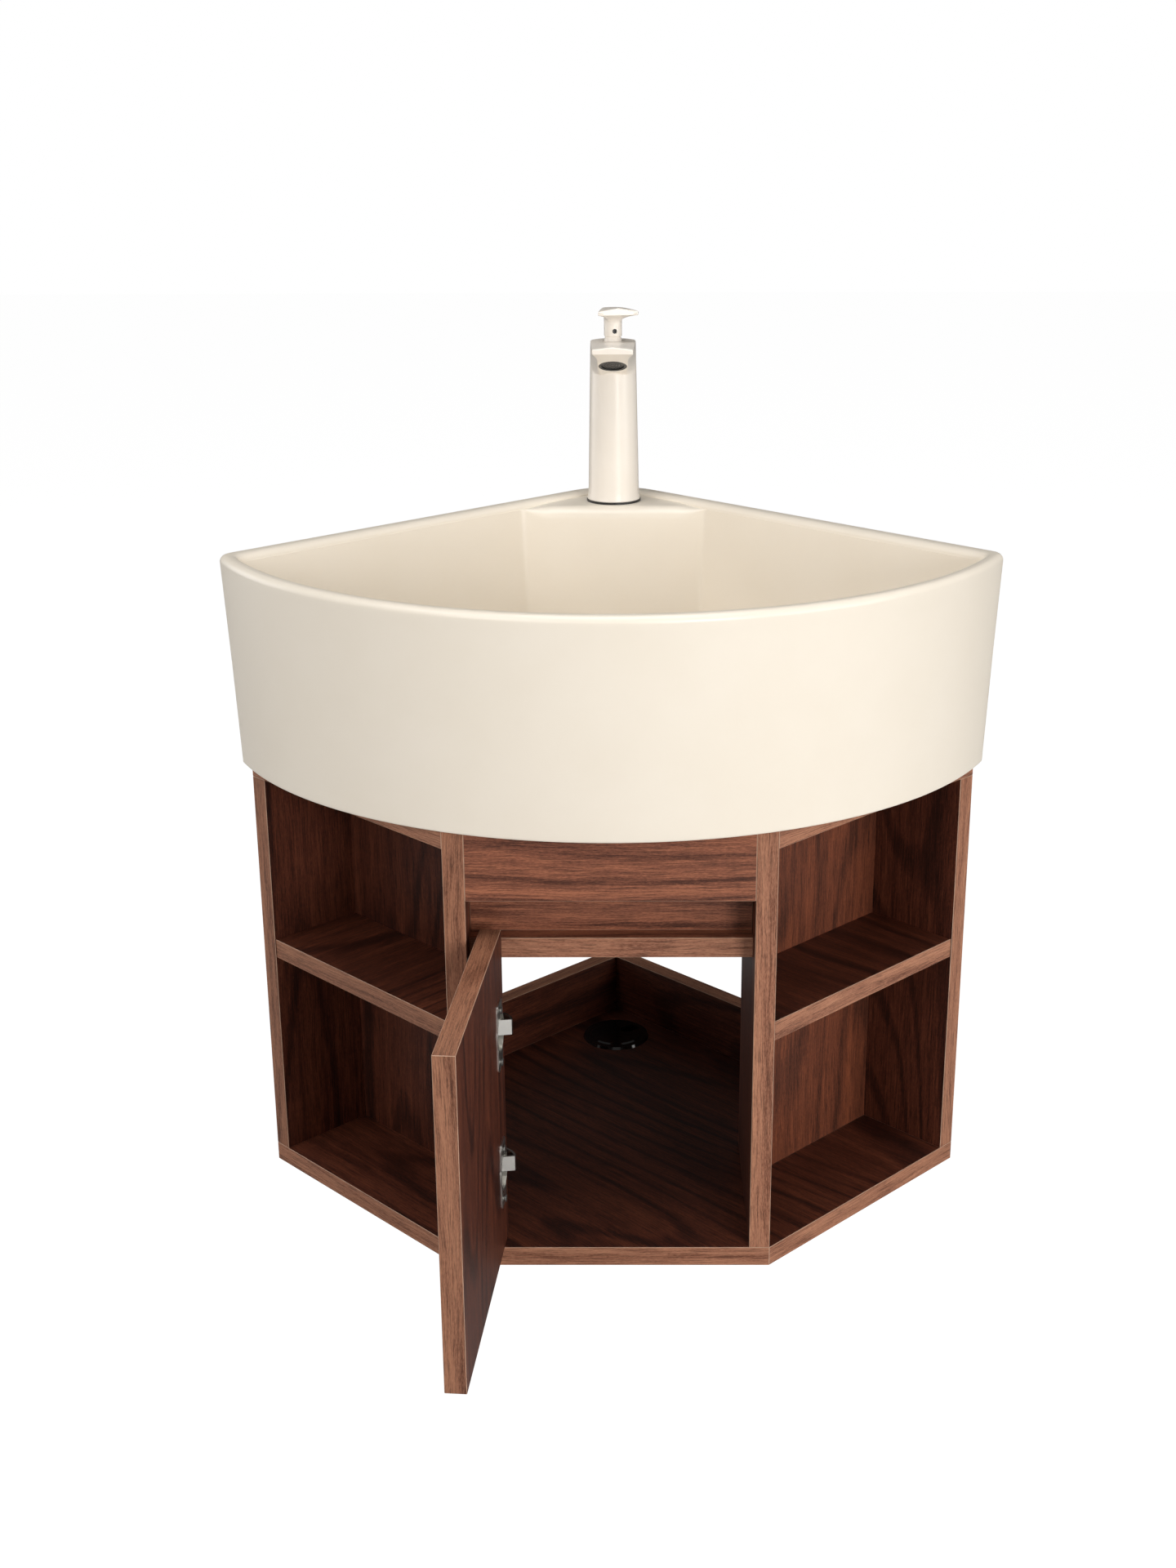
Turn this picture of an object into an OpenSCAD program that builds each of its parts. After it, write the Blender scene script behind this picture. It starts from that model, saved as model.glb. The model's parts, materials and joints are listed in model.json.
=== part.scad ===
// Corner vanity unit: a board cabinet for a room corner, with a ceramic basin and a
// single-lever tap. Millimetres. The origin is where the two room walls meet, level with
// the cabinet's underside. +Y points into the corner, so all of it lies at negative Y.

/* [Carcass] */
// Length of the cabinet along each room wall
side_len = 461; // [400:1:560]
// Width of the open end that stands square to each room wall
return_len = 266; // [220:1:320]
// Height of the cabinet, from its underside to the top panel's upper face
body_h = 410; // [380:1:520]
// Thickness of the boards
board = 18; // [15:1:22]
// Depth of the two upright dividers, from the front
divider_depth = 185; // [150:1:220]
// Depth of the open niches, from the cabinet's end to the niche wall
niche_depth = 93; // [70:1:110]
// Height of the niche shelf's underside
shelf_z = 218; // [150:1:260]
// How far the niche shelf stays back from the open end
shelf_setback = 1; // [0:0.5:6]
// Height of the low rails on the floor along both walls
low_rail_h = 62; // [40:1:90]
// Height of the hanging rails under the top panel
hang_rail_h = 80; // [60:1:110]
// Diameter of the holes for the wall screws
wall_hole_d = 7; // [5:0.5:9]
// Distance of the first wall screw from the room corner
wall_hole_first = 90; // [60:1:140]
// Distance between the two wall screws of a rail
wall_hole_pitch = 192; // [96:32:224]

/* [Front] */
// Height of the frieze rail under the top panel
frieze_h = 46; // [30:1:70]
// Height of the finger recess between the stretcher and the frieze rail
recess_h = 44; // [35:1:60]
// Distance of the recess board's face behind the front
recess_depth = 43; // [38:1:60]
// Distance of the stretcher's front edge behind the front
stretcher_setback = 26.5; // [26:0.5:32]

/* [Door] */
// Gap between the door and each divider
door_gap = 2.5; // [2.5:0.1:4]
// Gap under the door
door_foot_gap = 2; // [1:0.5:4]
// How far the door reaches above the stretcher
door_lap = 10; // [4:1:16]
// Opening angle of the door as drawn
open_angle = 94.5; // [0:0.5:105]
// Height of the lower hinge's centre
hinge_low_z = 96; // [80:1:110]
// Distance of the upper hinge's centre below the stretcher
hinge_drop = 57; // [50:1:80]

/* [Hinge] */
// Distance of the hinge pin from the divider
pin_side = 16.5; // [16:0.1:19]
// Distance of the hinge pin below the door's inner face
pin_inset = 10; // [9:0.1:10.5]
// Diameter of the hinge pin
pin_d = 2.5; // [2:0.1:3]
// Running clearance round the hinge pin
pin_play = 0.07; // [0.02:0.01:0.09]
// Diameter of the hinge cup
cup_d = 35; // [35:0.5:40]
// Depth of the hinge cup
cup_depth = 13.4; // [12.5:0.1:14]
// Board left between the door's edge and the cup
cup_margin = 5; // [3:0.5:7]
// Wall of the hinge cup
cup_wall = 0.8; // [0.6:0.1:1.2]
// Length of the cup's flange
flange_len = 62; // [56:1:66]
// Width of the cup's flange
flange_w = 25; // [20:1:28]
// Thickness of the cup's flange
flange_t = 1.2; // [0.8:0.1:1.6]
// Distance between the two flange screws
flange_screws = 48; // [42:1:52]
// Height of the hinge's curved neck
neck_h = 14; // [10:0.5:14]
// Thickness of the neck's steel
neck_t = 2; // [1.5:0.1:2.4]
// Length of the hinge arm behind its neck
arm_len = 58; // [48:1:70]
// Distance between the mounting plate's screws
plate_screws_pitch = 32; // [28:1:36]

/* [Basin] */
// Height of the basin
basin_h = 190; // [160:1:210]
// Distance of the rim's front from the room corner
rim_reach = 567; // [560:0.5:640]
// Radius of the rim's curved front
rim_radius = 369.3; // [350:0.1:400]
// Distance of the foot's front from the room corner
foot_reach = 549; // [545:1:620]
// Radius of the foot's curved front
foot_radius = 367.3; // [345:0.1:395]
// Width of the rim at the curved front
front_rim = 12; // [10:0.5:20]
// Width of the rim along the walls
wall_rim = 20; // [9:0.5:24]
// Radius of the rim's rounded lip
lip_r = 6; // [3:0.5:7]
// Radius of the basin's side tips, seen from above
tip_r = 15; // [10:1:24]
// Radius of the basin's back corner, seen from above
corner_r = 60; // [30:1:80]
// Depth of the bowl below the rim
bowl_depth = 130; // [110:1:145]
// Thickness of the ceramic
wall_t = 10; // [8:0.5:12]
// Distance of the tap deck's front edge from the room corner
deck_reach = 117; // [100:1:130]
// Drop of the tap deck below the rim
deck_drop = 4; // [2:0.5:8]
// Thickness of the tap deck
deck_t = 14; // [10:1:18]
// Distance of the waste from the room corner
waste_reach = 330; // [300:1:360]
// Diameter of the waste hole
waste_hole_d = 46; // [44:0.5:48]
// Diameter of the tap hole
tap_hole_d = 35; // [33:0.5:38]

/* [Tap] */
// Distance of the tap from the room corner
tap_reach = 79; // [74:1:90]
// Height of the tap's body above the deck
tap_h = 154.5; // [120:0.5:200]
// Diameter of the body at its top
tap_top_d = 43.8; // [40:0.2:50]
// Diameter of the body above its flared foot
tap_low_d = 49.6; // [44:0.2:56]
// Diameter of the black ring under the body
tap_ring_d = 53; // [50:0.5:58]
// Reach of the spout's nose from the tap's axis
spout_reach = 67; // [60:1:90]
// Width of the spout's nose
nose_w = 39; // [30:1:42]
// Slope of the spout's underside, in degrees
spout_slope = 27; // [18:1:32]
// Diameter of the aerator
aerator_d = 27; // [24:0.5:28]
// Distance of the aerator behind the nose
aerator_back = 28.5; // [24:0.5:34]
// Diameter of the handle's stem
stem_d = 17.2; // [14:0.2:20]
// Height of the stem's top above the body
stem_h = 26; // [20:1:34]
// Reach of the lever's nose from the tap's axis
lever_reach = 27; // [22:1:60]
// Turn of the lever as drawn, in degrees to the right
lever_turn = 12; // [-33:1:33]

/* [Waste] */
// Diameter of the waste's flange in the bowl
waste_flange_d = 63; // [58:1:68]
// Diameter of the waste's plug
plug_d = 50; // [46:1:54]
// Travel of the plug
plug_travel = 8; // [5:0.5:10]
// Outer diameter of the tail pipe
tail_d = 32; // [30:1:40]

/* [Floor outlet] */
// Distance of the floor outlet from the room corner
outlet_reach = 95; // [80:1:140]
// Outer diameter of the outlet's flange
outlet_flange_d = 70; // [60:1:80]
// Diameter of the hole in the floor
outlet_hole_d = 60; // [50:1:70]

/* [Hidden] */
$fn = 64;

walnut = "#6e4a3a";
walnut_dark = "#573a2e";
cream = "#efe4d2";
nickel = "#b9bbbe";
chrome = "#d6d9dc";
black = "#1f1f20";
grey_plastic = "#8b8d90";

ROOT2 = sqrt(2);
EPS = 0.01;
FIT = 0.05;          // clearance round a piece seated in its hole

// Carcass places. Along each wall: "a" runs from the room corner, "b" out from the wall.
front_x = (side_len - return_len) / ROOT2;
front_y = -(side_len + return_len) / ROOT2;
tip = side_len / ROOT2;
div_in = front_x - board;
inside_top = body_h - board;
niche_a = side_len - niche_depth;
wall_a = niche_a - board;
stretcher_top = inside_top - frieze_h - recess_h;

// Door and hinge places
door_x0 = -div_in + door_gap;
door_w = 2 * (div_in - door_gap);
door_z0 = board + door_foot_gap;
door_h = stretcher_top + door_lap - door_z0;
door_in_y = front_y + board;
pin_x = -div_in + pin_side;
pin_depth = board - pin_inset;
pin_y = front_y + pin_depth;
cup_x = door_x0 + cup_margin + cup_d / 2;
hinge_z = [hinge_low_z, stretcher_top - board - hinge_drop];
cup_in_r = cup_d / 2 - cup_wall;
eye_r = pin_d / 2 + 1;
lug_start = 7.5;     // the pin's lugs start this far from the cup's middle
lug_r = pin_d / 2 + 1.1;
pin_half = lug_start + 5;
screw_inset = 6;     // flange screws lie this far beyond the cup's centre
neck_clear = 1;      // gap between the neck and the door's corner as it swings
neck_r = norm([pin_side - door_gap, pin_inset]) + neck_clear;
neck_start = 10;     // angle at which the neck leaves the cup
neck_end = 108;      // angle at which it meets the arm
arm_side = 5;        // arm's distance from the divider
arm_d = 9;           // depth of the arm's channel
arm_wall = 1.4;
arm_h = 17;
arm_front = pin_depth + neck_r;
plate_screw_y = 39;  // distance of the mounting plate's screws behind the front
plate_t = 2;
boss_front = 40;
boss_len = 38;
arm_screw_y = [46, 68];

// Cam fittings in the dividers
cam_r = 6;
cam_len = 11.5;
cam_edge = 24;       // distance of a cam from the divider's end
cam_y = [53, 132];
cam_bolt_r = 3;
cam_bolt_len = 34;

// Basin places
basin_z = body_h;
rim_z = basin_z + basin_h;
deck_z = rim_z - deck_drop;
bowl_z = rim_z - bowl_depth;
bowl_fillet = 25;
bowl_taper = 11;
waste_dish = 6;      // fall of the bowl's floor to the waste
waste_z = bowl_z - waste_dish;
boss_r = 36;
boss_h = 34;
waste_seat_z = waste_z - boss_h;

// Tap places
ring_t = 2;
body_z = deck_z + ring_t;
body_top = deck_z + tap_h;
cartridge_r = 17.5;
cartridge_h = 34;
cap_t = 3;
nut_t = 6;
socket_r = stem_d / 2 + 0.9;
ball_r = socket_r - 0.5;
ball_z = body_top - 1.5;
tilt_pin_r = 1.2;
rotor_h = 9.6;
rotor_low = body_top - cap_t - nut_t - 9.9 - ball_z;
shank_r = 15;
shank_len = 58;
cartridge_z = body_top - cap_t - nut_t - cartridge_h;
nose_low = body_top - 5.4;
nose_side_t = 4.3;
nose_ridge = 6.6;

// ---------------------------------------------------------------- helpers

// Places children in the frame of a room wall: x runs along it from the corner, y out of it.
module along_wall(hand) {
    if (hand < 0) mirror([1, 0, 0]) rotate([0, 0, -45]) mirror([0, 1, 0]) children();
    else rotate([0, 0, -45]) mirror([0, 1, 0]) children();
}

// Board of the given plan outline between two heights
module slab(points, z0, z1) {
    translate([0, 0, z0]) linear_extrude(z1 - z0) polygon(points);
}

// Straight board between two corners
module bar(low, high) {
    translate(low) cube(high - low);
}

// Pentagon of the cabinet's plan
function plan() = [[0, 0], [tip, -tip], [front_x, front_y], [-front_x, front_y], [-tip, -tip]];

// Points of an arc from angle a0 to a1
function arc(c, r, a0, a1, n) = [for (i = [0:n]) let (t = a0 + (a1 - a0) * i / n)
    c + r * [cos(t), sin(t)]];

// Centre of a tip's circle, that touches the wall line and the curved front from inside
function tip_centre(radius, yc, gap, r) = let (k = -(gap + r) * ROOT2 - yc,
    x = (k + sqrt(2 * pow(radius - r, 2) - k * k)) / 2) [x, -x - (gap + r) * ROOT2];

// Right half of an outline, from the wall round the tip to the middle of the front
function half_front(radius, reach, gap, r) = let (yc = radius - reach,
    c = tip_centre(radius, yc, gap, r), turn = atan2(c[1] - yc, c[0]))
    concat(arc(c, r, 45, turn, 6), arc([0, yc], radius, turn, -90, 20));

function mirrored(points) = [for (i = [len(points) - 1:-1:0]) [-points[i][0], points[i][1]]];

// Outline of the basin at one height: two walls, rounded corners and the curved front
function outer_outline(radius, reach, gap, r, rc) = let (
    half = concat(arc([0, -(gap + rc) * ROOT2], rc, 90, 45, 6), half_front(radius, reach, gap, r)))
    concat(half, mirrored(half));

// Outline of the bowl: as above, with a straight back at the tap deck
function bowl_outline(inset) = let (radius = rim_radius - front_rim - inset,
    reach = rim_reach - front_rim - inset, gap = wall_rim + inset, rf = 7, r = max(tip_r - 6, 6),
    back = deck_reach + inset,
    c = [back + rf - (gap + rf) * ROOT2, -back - rf],
    half = concat(arc(c, rf, 90, 45, 5), half_front(radius, reach, gap, r)))
    concat(half, mirrored(half));

module slice(points, z) {
    translate([0, 0, z]) linear_extrude(EPS) polygon(points);
}

// Solid of the bowl's inside, grown by a wall thickness
module bowl_solid(grow) {
    hull() {
        slice(bowl_outline(-grow), rim_z + 1);
        for (t = [0:22.5:90])
            slice(bowl_outline(bowl_taper + bowl_fillet * (1 - cos(t)) - grow),
                bowl_z + bowl_fillet * (1 - sin(t)) - grow);
    }
}

// Turns children by the door's opening angle about the hinge pin
module swung() {
    translate([pin_x, pin_y, 0]) rotate([0, 0, -open_angle])
        translate([-pin_x, -pin_y, 0]) children();
}

// Screw with a countersunk or flat head, its head's top at the origin, pointing along -z
module screw(head_r, head_t, r, length) {
    difference() {
        union() {
            translate([0, 0, -head_t]) cylinder(r1 = r, r2 = head_r, h = head_t);
            translate([0, 0, -length]) cylinder(r = r, h = length - head_t + EPS);
        }
        for (a = [0, 90]) rotate([0, 0, a])
            translate([-head_r * 0.6, -0.35, -0.8]) cube([head_r * 1.2, 0.7, 1]);
    }
}

// ---------------------------------------------------------------- carcass

module bottom_panel() color(walnut) difference() {
    slab(plan(), 0, board);
    translate([0, -outlet_reach, -1]) cylinder(d = outlet_hole_d, h = board + 2);
    bolt_holes(board - 10, board + 1);
}

module top_panel() color(walnut) difference() {
    slab(plan(), inside_top, body_h);
    translate([0, -waste_reach, inside_top - 1]) cylinder(r = 78, h = board + 2);
    bar([-78, -waste_reach, inside_top - 1], [78, -waste_reach / 2, body_h + 1]);
    translate([0, -tap_reach - 20, inside_top - 1]) cylinder(r = 42, h = board + 2);
    bar([-42, -waste_reach / 2 - 1, inside_top - 1], [42, -tap_reach - 20, body_h + 1]);
    bolt_holes(inside_top - 1, inside_top + 10);
}

// Holes in a panel for the cam bolts' threaded ends
module bolt_holes(z0, z1) {
    for (s = [-1, 1], y = cam_y)
        translate([s * (front_x - board / 2), front_y + y, z0])
            cylinder(r = cam_bolt_r + FIT, h = z1 - z0);
}

module divider(hand) {
    difference() {
        bar([min(hand * div_in, hand * front_x), front_y, board],
            [max(hand * div_in, hand * front_x), front_y + divider_depth, inside_top]);
        for (y = cam_y, low = [true, false]) {
            z = low ? board + cam_edge : inside_top - cam_edge;
            translate([hand * (div_in - 1), front_y + y, z]) rotate([0, hand * 90, 0])
                cylinder(r = cam_r + FIT, h = cam_len + 1 + FIT);
            translate([hand * (front_x - board / 2), front_y + y, low ? board - 1 : z])
                cylinder(r = cam_bolt_r + FIT, h = cam_edge + 1);
        }
        if (hand < 0)
            for (z = hinge_z, s = [-1, 1])
                translate([-div_in + 1, front_y + plate_screw_y, z + s * plate_screws_pitch / 2])
                    rotate([0, -90, 0]) cylinder(r = 1.9 + FIT, h = 14);
    }
}

module left_divider() color(walnut) divider(-1);
module right_divider() color(walnut) divider(1);

// Niche wall, parallel to the open end, mitred where it meets the divider
module niche_wall(hand) {
    offset_b = side_len - return_len;
    along_wall(hand) slab([[wall_a, board], [niche_a, board], [niche_a, niche_a - offset_b],
        [wall_a, wall_a - offset_b]], board, inside_top);
}

module left_niche_wall() color(walnut_dark) niche_wall(-1);
module right_niche_wall() color(walnut_dark) niche_wall(1);

module back_panel(hand) {
    along_wall(hand) bar([wall_a, 0, board], [side_len, board, inside_top]);
}

module left_back_panel() color(walnut) back_panel(-1);
module right_back_panel() color(walnut) back_panel(1);

module niche_shelf(hand) {
    end_a = side_len - shelf_setback;
    offset_b = side_len - return_len;
    along_wall(hand) slab([[niche_a, board], [end_a, board], [end_a, end_a - offset_b],
        [niche_a, niche_a - offset_b]], shelf_z, shelf_z + board);
}

module left_niche_shelf() color(walnut) niche_shelf(-1);
module right_niche_shelf() color(walnut) niche_shelf(1);

module frieze_rail() color(walnut)
    bar([-div_in, front_y, inside_top - frieze_h], [div_in, front_y + board, inside_top]);

module recess_board() color(walnut)
    bar([-div_in, front_y + recess_depth, stretcher_top],
        [div_in, front_y + recess_depth + board, inside_top]);

module stretcher() color(walnut)
    bar([-div_in, front_y + stretcher_setback, stretcher_top - board],
        [div_in, front_y + recess_depth + board, stretcher_top]);

// A rail along a wall. The right one runs into the corner and the left one stops at it.
module wall_rail(hand, z0, z1, holes) {
    start = hand > 0 ? 0 : board;
    along_wall(hand) difference() {
        bar([start, 0, z0], [wall_a, board, z1]);
        if (holes)
            for (i = [0, 1])
                translate([wall_hole_first + i * wall_hole_pitch, -1, (z0 + z1) / 2])
                    rotate([-90, 0, 0]) cylinder(d = wall_hole_d, h = board + 2);
    }
}

module left_low_rail() color(walnut) wall_rail(-1, board, board + low_rail_h, false);
module right_low_rail() color(walnut) wall_rail(1, board, board + low_rail_h, false);
module left_hanging_rail() color(walnut) wall_rail(-1, inside_top - hang_rail_h, inside_top, true);
module right_hanging_rail() color(walnut) wall_rail(1, inside_top - hang_rail_h, inside_top, true);

// Round cams, flush with the dividers' inner faces, each with a cross slot
module cam_locks() color(nickel)
    for (s = [-1, 1], y = cam_y, z = [board + cam_edge, inside_top - cam_edge])
        translate([s * div_in, front_y + y, z]) rotate([0, s * 90, 0]) difference() {
            cylinder(r = cam_r, h = cam_len);
            for (a = [45, 135]) rotate([0, 0, a])
                translate([-cam_r * 0.7, -0.8, -1]) cube([cam_r * 1.4, 1.6, 3.5]);
            translate([-cam_r - 1, 0, board / 2]) rotate([0, 90, 0])
                cylinder(r = cam_bolt_r + FIT, h = 2 * cam_r + 2);
        }

// Bolts between the cams and the bottom and top panels
module cam_bolts() color(nickel)
    for (s = [-1, 1], y = cam_y) {
        x = s * (front_x - board / 2);
        translate([x, front_y + y, board - 10 + FIT]) cylinder(r = cam_bolt_r, h = cam_bolt_len - FIT);
        translate([x, front_y + y, inside_top + 10 - cam_bolt_len])
            cylinder(r = cam_bolt_r, h = cam_bolt_len - FIT);
    }

// ---------------------------------------------------------------- floor outlet

outlet_cap_r = outlet_hole_d / 2 - 2.1;
outlet_notch = 13;

module floor_outlet_sleeve() color(black) translate([0, -outlet_reach, 0]) difference() {
    union() {
        translate([0, 0, board]) cylinder(d1 = outlet_flange_d, d2 = outlet_flange_d - 3, h = 2.5);
        translate([0, 0, board - 16]) cylinder(d = outlet_hole_d - 2 * FIT, h = 16 + EPS);
    }
    translate([0, 0, board - 17]) cylinder(r = outlet_cap_r - 1.4, h = 30);
    translate([0, 0, board - 0.5]) cylinder(r = outlet_cap_r + 0.08, h = 10);
}

// Turning cap with a notch at its edge for the pipes
module floor_outlet_cap() color(black) translate([0, -outlet_reach, board]) difference() {
    union() {
        translate([0, 0, -0.4]) cylinder(r = outlet_cap_r, h = 2.9);
        translate([0, 0, 2.5 - EPS]) cylinder(r1 = outlet_cap_r, r2 = outlet_cap_r - 2, h = 1);
        translate([0, 0, -6]) cylinder(r = outlet_cap_r - 1.7, h = 6);
    }
    translate([0, 0, -7]) cylinder(r = outlet_cap_r - 3.4, h = 8);
    translate([11, 8, -8]) cylinder(r = outlet_notch / 2, h = 20);
    translate([11, 8, -8]) rotate([0, 0, 36]) translate([0, -outlet_notch / 2, 0])
        cube([outlet_hole_d / 2, outlet_notch, 20]);
}

// ---------------------------------------------------------------- door and hinges

module door() color(walnut) swung() difference() {
    bar([door_x0, front_y, door_z0], [door_x0 + door_w, door_in_y, door_z0 + door_h]);
    for (z = hinge_z) {
        translate([cup_x, door_in_y + 1, z]) rotate([90, 0, 0])
            cylinder(r = cup_d / 2 + FIT, h = cup_depth + FIT + 1);
        for (s = [-1, 1])
            translate([cup_x + screw_inset, door_in_y + 1, z + s * flange_screws / 2])
                rotate([90, 0, 0]) cylinder(r = 1.6 + FIT, h = 12);
    }
}

// Plan of the cup's flange: a plate with round ends
module flange_plan() {
    r = 6;
    for (sx = [0, 1], sz = [-1, 1])
        translate([-flange_w / 2 + r + sx * (flange_w - 2 * r) + 4, sz * (flange_len / 2 - r)])
            circle(r = r);
    translate([4 - flange_w / 2 + r, -flange_len / 2]) square([flange_w - 2 * r, flange_len]);
    translate([4 - flange_w / 2, -flange_len / 2 + r]) square([flange_w, flange_len - 2 * r]);
    circle(d = cup_d + 1);
}

// Cups let into the door, with their flanges on its inner face
module hinge_cups() color(nickel) swung()
    for (z = hinge_z) translate([cup_x, door_in_y, z]) rotate([90, 0, 0]) difference() {
        union() {
            cylinder(d = cup_d, h = cup_depth);
            translate([0, 0, -flange_t]) linear_extrude(flange_t) flange_plan();
        }
        difference() {
            translate([0, 0, -flange_t - 1])
                cylinder(r = cup_in_r, h = cup_depth + flange_t + 1 - cup_wall);
            for (s = [-1, 1]) translate([pin_x - cup_x, s * (lug_start + cup_d / 2), door_in_y - pin_y])
                cube([2 * lug_r, cup_d, 2 * lug_r], center = true);
        }
        translate([pin_x - cup_x, 0, door_in_y - pin_y]) rotate([90, 0, 0])
            cylinder(d = pin_d + 2 * FIT, h = 2 * (pin_half + FIT), center = true);
        for (s = [-1, 1])
            translate([screw_inset, s * flange_screws / 2, -flange_t - 1])
                cylinder(r = 1.6 + FIT, h = flange_t + 2);
    }

// Pins across the cups, held in two lugs each
module hinge_pins() color(chrome) swung()
    for (z = hinge_z) translate([pin_x, pin_y, z - pin_half]) cylinder(d = pin_d, h = 2 * pin_half);

module cup_screws() color(chrome) swung()
    for (z = hinge_z, s = [-1, 1])
        translate([cup_x + screw_inset, door_in_y + flange_t + 2.2, z + s * flange_screws / 2])
            rotate([-90, 0, 0]) screw(3.6, 2.2, 1.6, 13);

// Outline of the curved neck, from the pin's eye round the door's edge to the arm. Its
// straight part lies along +x here and its bend is round the pin.
function neck_outline() = let (h = neck_t / 2, far = neck_r + neck_t, turn = neck_end - neck_start)
    concat([[pin_d / 2 + 0.4, -h], [far - 1.2, -h]], arc([0, 0], far, 4, turn, 16),
        arc([0, 0], neck_r, turn, asin(h / neck_r), 16), [[pin_d / 2 + 0.4, h]]);

// Arms with their curved necks. Each neck's eye turns on the pin in the cup.
module hinge_arms() color(nickel)
    for (z = hinge_z) translate([0, 0, z]) {
        difference() {
            translate([pin_x, pin_y, -neck_h / 2]) rotate([0, 0, neck_start])
                linear_extrude(neck_h) {
                    polygon(neck_outline());
                    circle(r = eye_r);
                }
            translate([pin_x, pin_y, -neck_h]) cylinder(r = pin_d / 2 + pin_play, h = 2 * neck_h);
        }
        translate([-div_in + arm_side, front_y + arm_front, 0]) difference() {
            translate([0, 0, -arm_h / 2]) cube([arm_d, arm_len, arm_h]);
            translate([-1, neck_t, -arm_h / 2 + arm_wall])
                cube([arm_d + 1 - arm_wall, arm_len, arm_h - 2 * arm_wall]);
            for (y = arm_screw_y)
                translate([0, y - arm_front, 0]) rotate([0, 90, 0]) cylinder(r = 2.2, h = 20);
        }
    }

// Mounting plates on the left divider: two wings with screws and a boss inside the arm
module mounting_plates() color(nickel)
    for (z = hinge_z) translate([-div_in, front_y, z]) difference() {
        union() {
            bar([0, plate_screw_y - 7, -plate_screws_pitch / 2],
                [plate_t, plate_screw_y + 7, plate_screws_pitch / 2]);
            for (s = [-1, 1])
                translate([0, plate_screw_y, s * plate_screws_pitch / 2]) rotate([0, 90, 0])
                    cylinder(r = 7, h = plate_t);
            bar([0, boss_front - 4, -9], [plate_t, boss_front + boss_len, 9]);
            bar([0, boss_front, -6.8], [arm_side + arm_d - arm_wall - 0.2, boss_front + boss_len, 6.8]);
        }
        for (s = [-1, 1])
            translate([-1, plate_screw_y, s * plate_screws_pitch / 2]) rotate([0, 90, 0])
                cylinder(r = 1.9 + FIT, h = plate_t + 2);
        for (y = arm_screw_y)
            translate([plate_t, y, 0]) rotate([0, 90, 0]) cylinder(r = 1.6 + FIT, h = 20);
    }

module plate_screws() color(chrome)
    for (z = hinge_z, s = [-1, 1])
        translate([-div_in + plate_t + 1.8, front_y + plate_screw_y, z + s * plate_screws_pitch / 2])
            rotate([0, 90, 0]) screw(3.4, 1.8, 1.9, 14);

// Fixing and adjusting screws through the arms into the plates' bosses
module arm_screws() color(chrome)
    for (z = hinge_z, y = arm_screw_y)
        translate([-div_in + arm_side + arm_d + 2, front_y + y, z])
            rotate([0, 90, 0]) screw(3.4, 2, 1.6, 11);

// ---------------------------------------------------------------- basin

module basin_outside() {
    hull() {
        slice(outer_outline(foot_radius, foot_reach, 0, tip_r, corner_r), basin_z);
        for (t = [0:22.5:90]) {
            inset = lip_r * (1 - cos(t));
            slice(outer_outline(rim_radius - inset, rim_reach - inset, inset, tip_r - inset,
                corner_r), rim_z - EPS - lip_r * (1 - sin(t)));
        }
    }
}

// Hollow under the bowl and the deck, open below
module basin_hollow() {
    difference() {
        hull() {
            slice(outer_outline(foot_radius - wall_t, foot_reach - wall_t, wall_t, tip_r - 8,
                corner_r - wall_t), basin_z - 1);
            slice(outer_outline(rim_radius - wall_t - 4, rim_reach - wall_t - 4, wall_t, tip_r - 8,
                corner_r - wall_t), deck_z - deck_t);
        }
        bowl_solid(wall_t);
        translate([0, -waste_reach, waste_seat_z]) cylinder(r = boss_r, h = boss_h + bowl_fillet);
        translate([0, 0, rim_z - 24 - wall_t]) linear_extrude(40)
            difference() {
                polygon(outer_outline(rim_radius, rim_reach, 0, tip_r, corner_r));
                polygon(outer_outline(rim_radius - 60, rim_reach - 60, wall_t, tip_r, corner_r - wall_t));
            }
    }
}

module basin() color(cream) difference() {
    basin_outside();
    bowl_solid(0);
    basin_hollow();
    translate([0, 0, deck_z]) linear_extrude(deck_drop + 1) intersection() {
        polygon(outer_outline(rim_radius, rim_reach, wall_rim + 1, tip_r, corner_r - wall_rim));
        translate([-rim_reach, -deck_reach - 6]) square([2 * rim_reach, rim_reach]);
    }
    translate([0, -waste_reach, waste_z]) cylinder(d1 = waste_flange_d, d2 = 210, h = waste_dish + 1);
    translate([0, -waste_reach, basin_z]) cylinder(d = waste_hole_d, h = basin_h);
    translate([0, -waste_reach, waste_z - 2]) cylinder(d = waste_flange_d + 2, h = 10);
    translate([0, -tap_reach, basin_z]) cylinder(d = tap_hole_d, h = basin_h);
}

// ---------------------------------------------------------------- waste

module at_waste() translate([0, -waste_reach, waste_z - 2]) children();

module waste_flange() color(chrome) at_waste() difference() {
    union() {
        cylinder(d1 = waste_flange_d, d2 = waste_flange_d - 3, h = 2);
        translate([0, 0, -20]) cylinder(r = 21.5, h = 20 + EPS);
    }
    translate([0, 0, -21]) cylinder(r = 19.3 + FIT, h = 20);
    translate([0, 0, -2]) cylinder(r = 17.5, h = 10);
}

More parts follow.
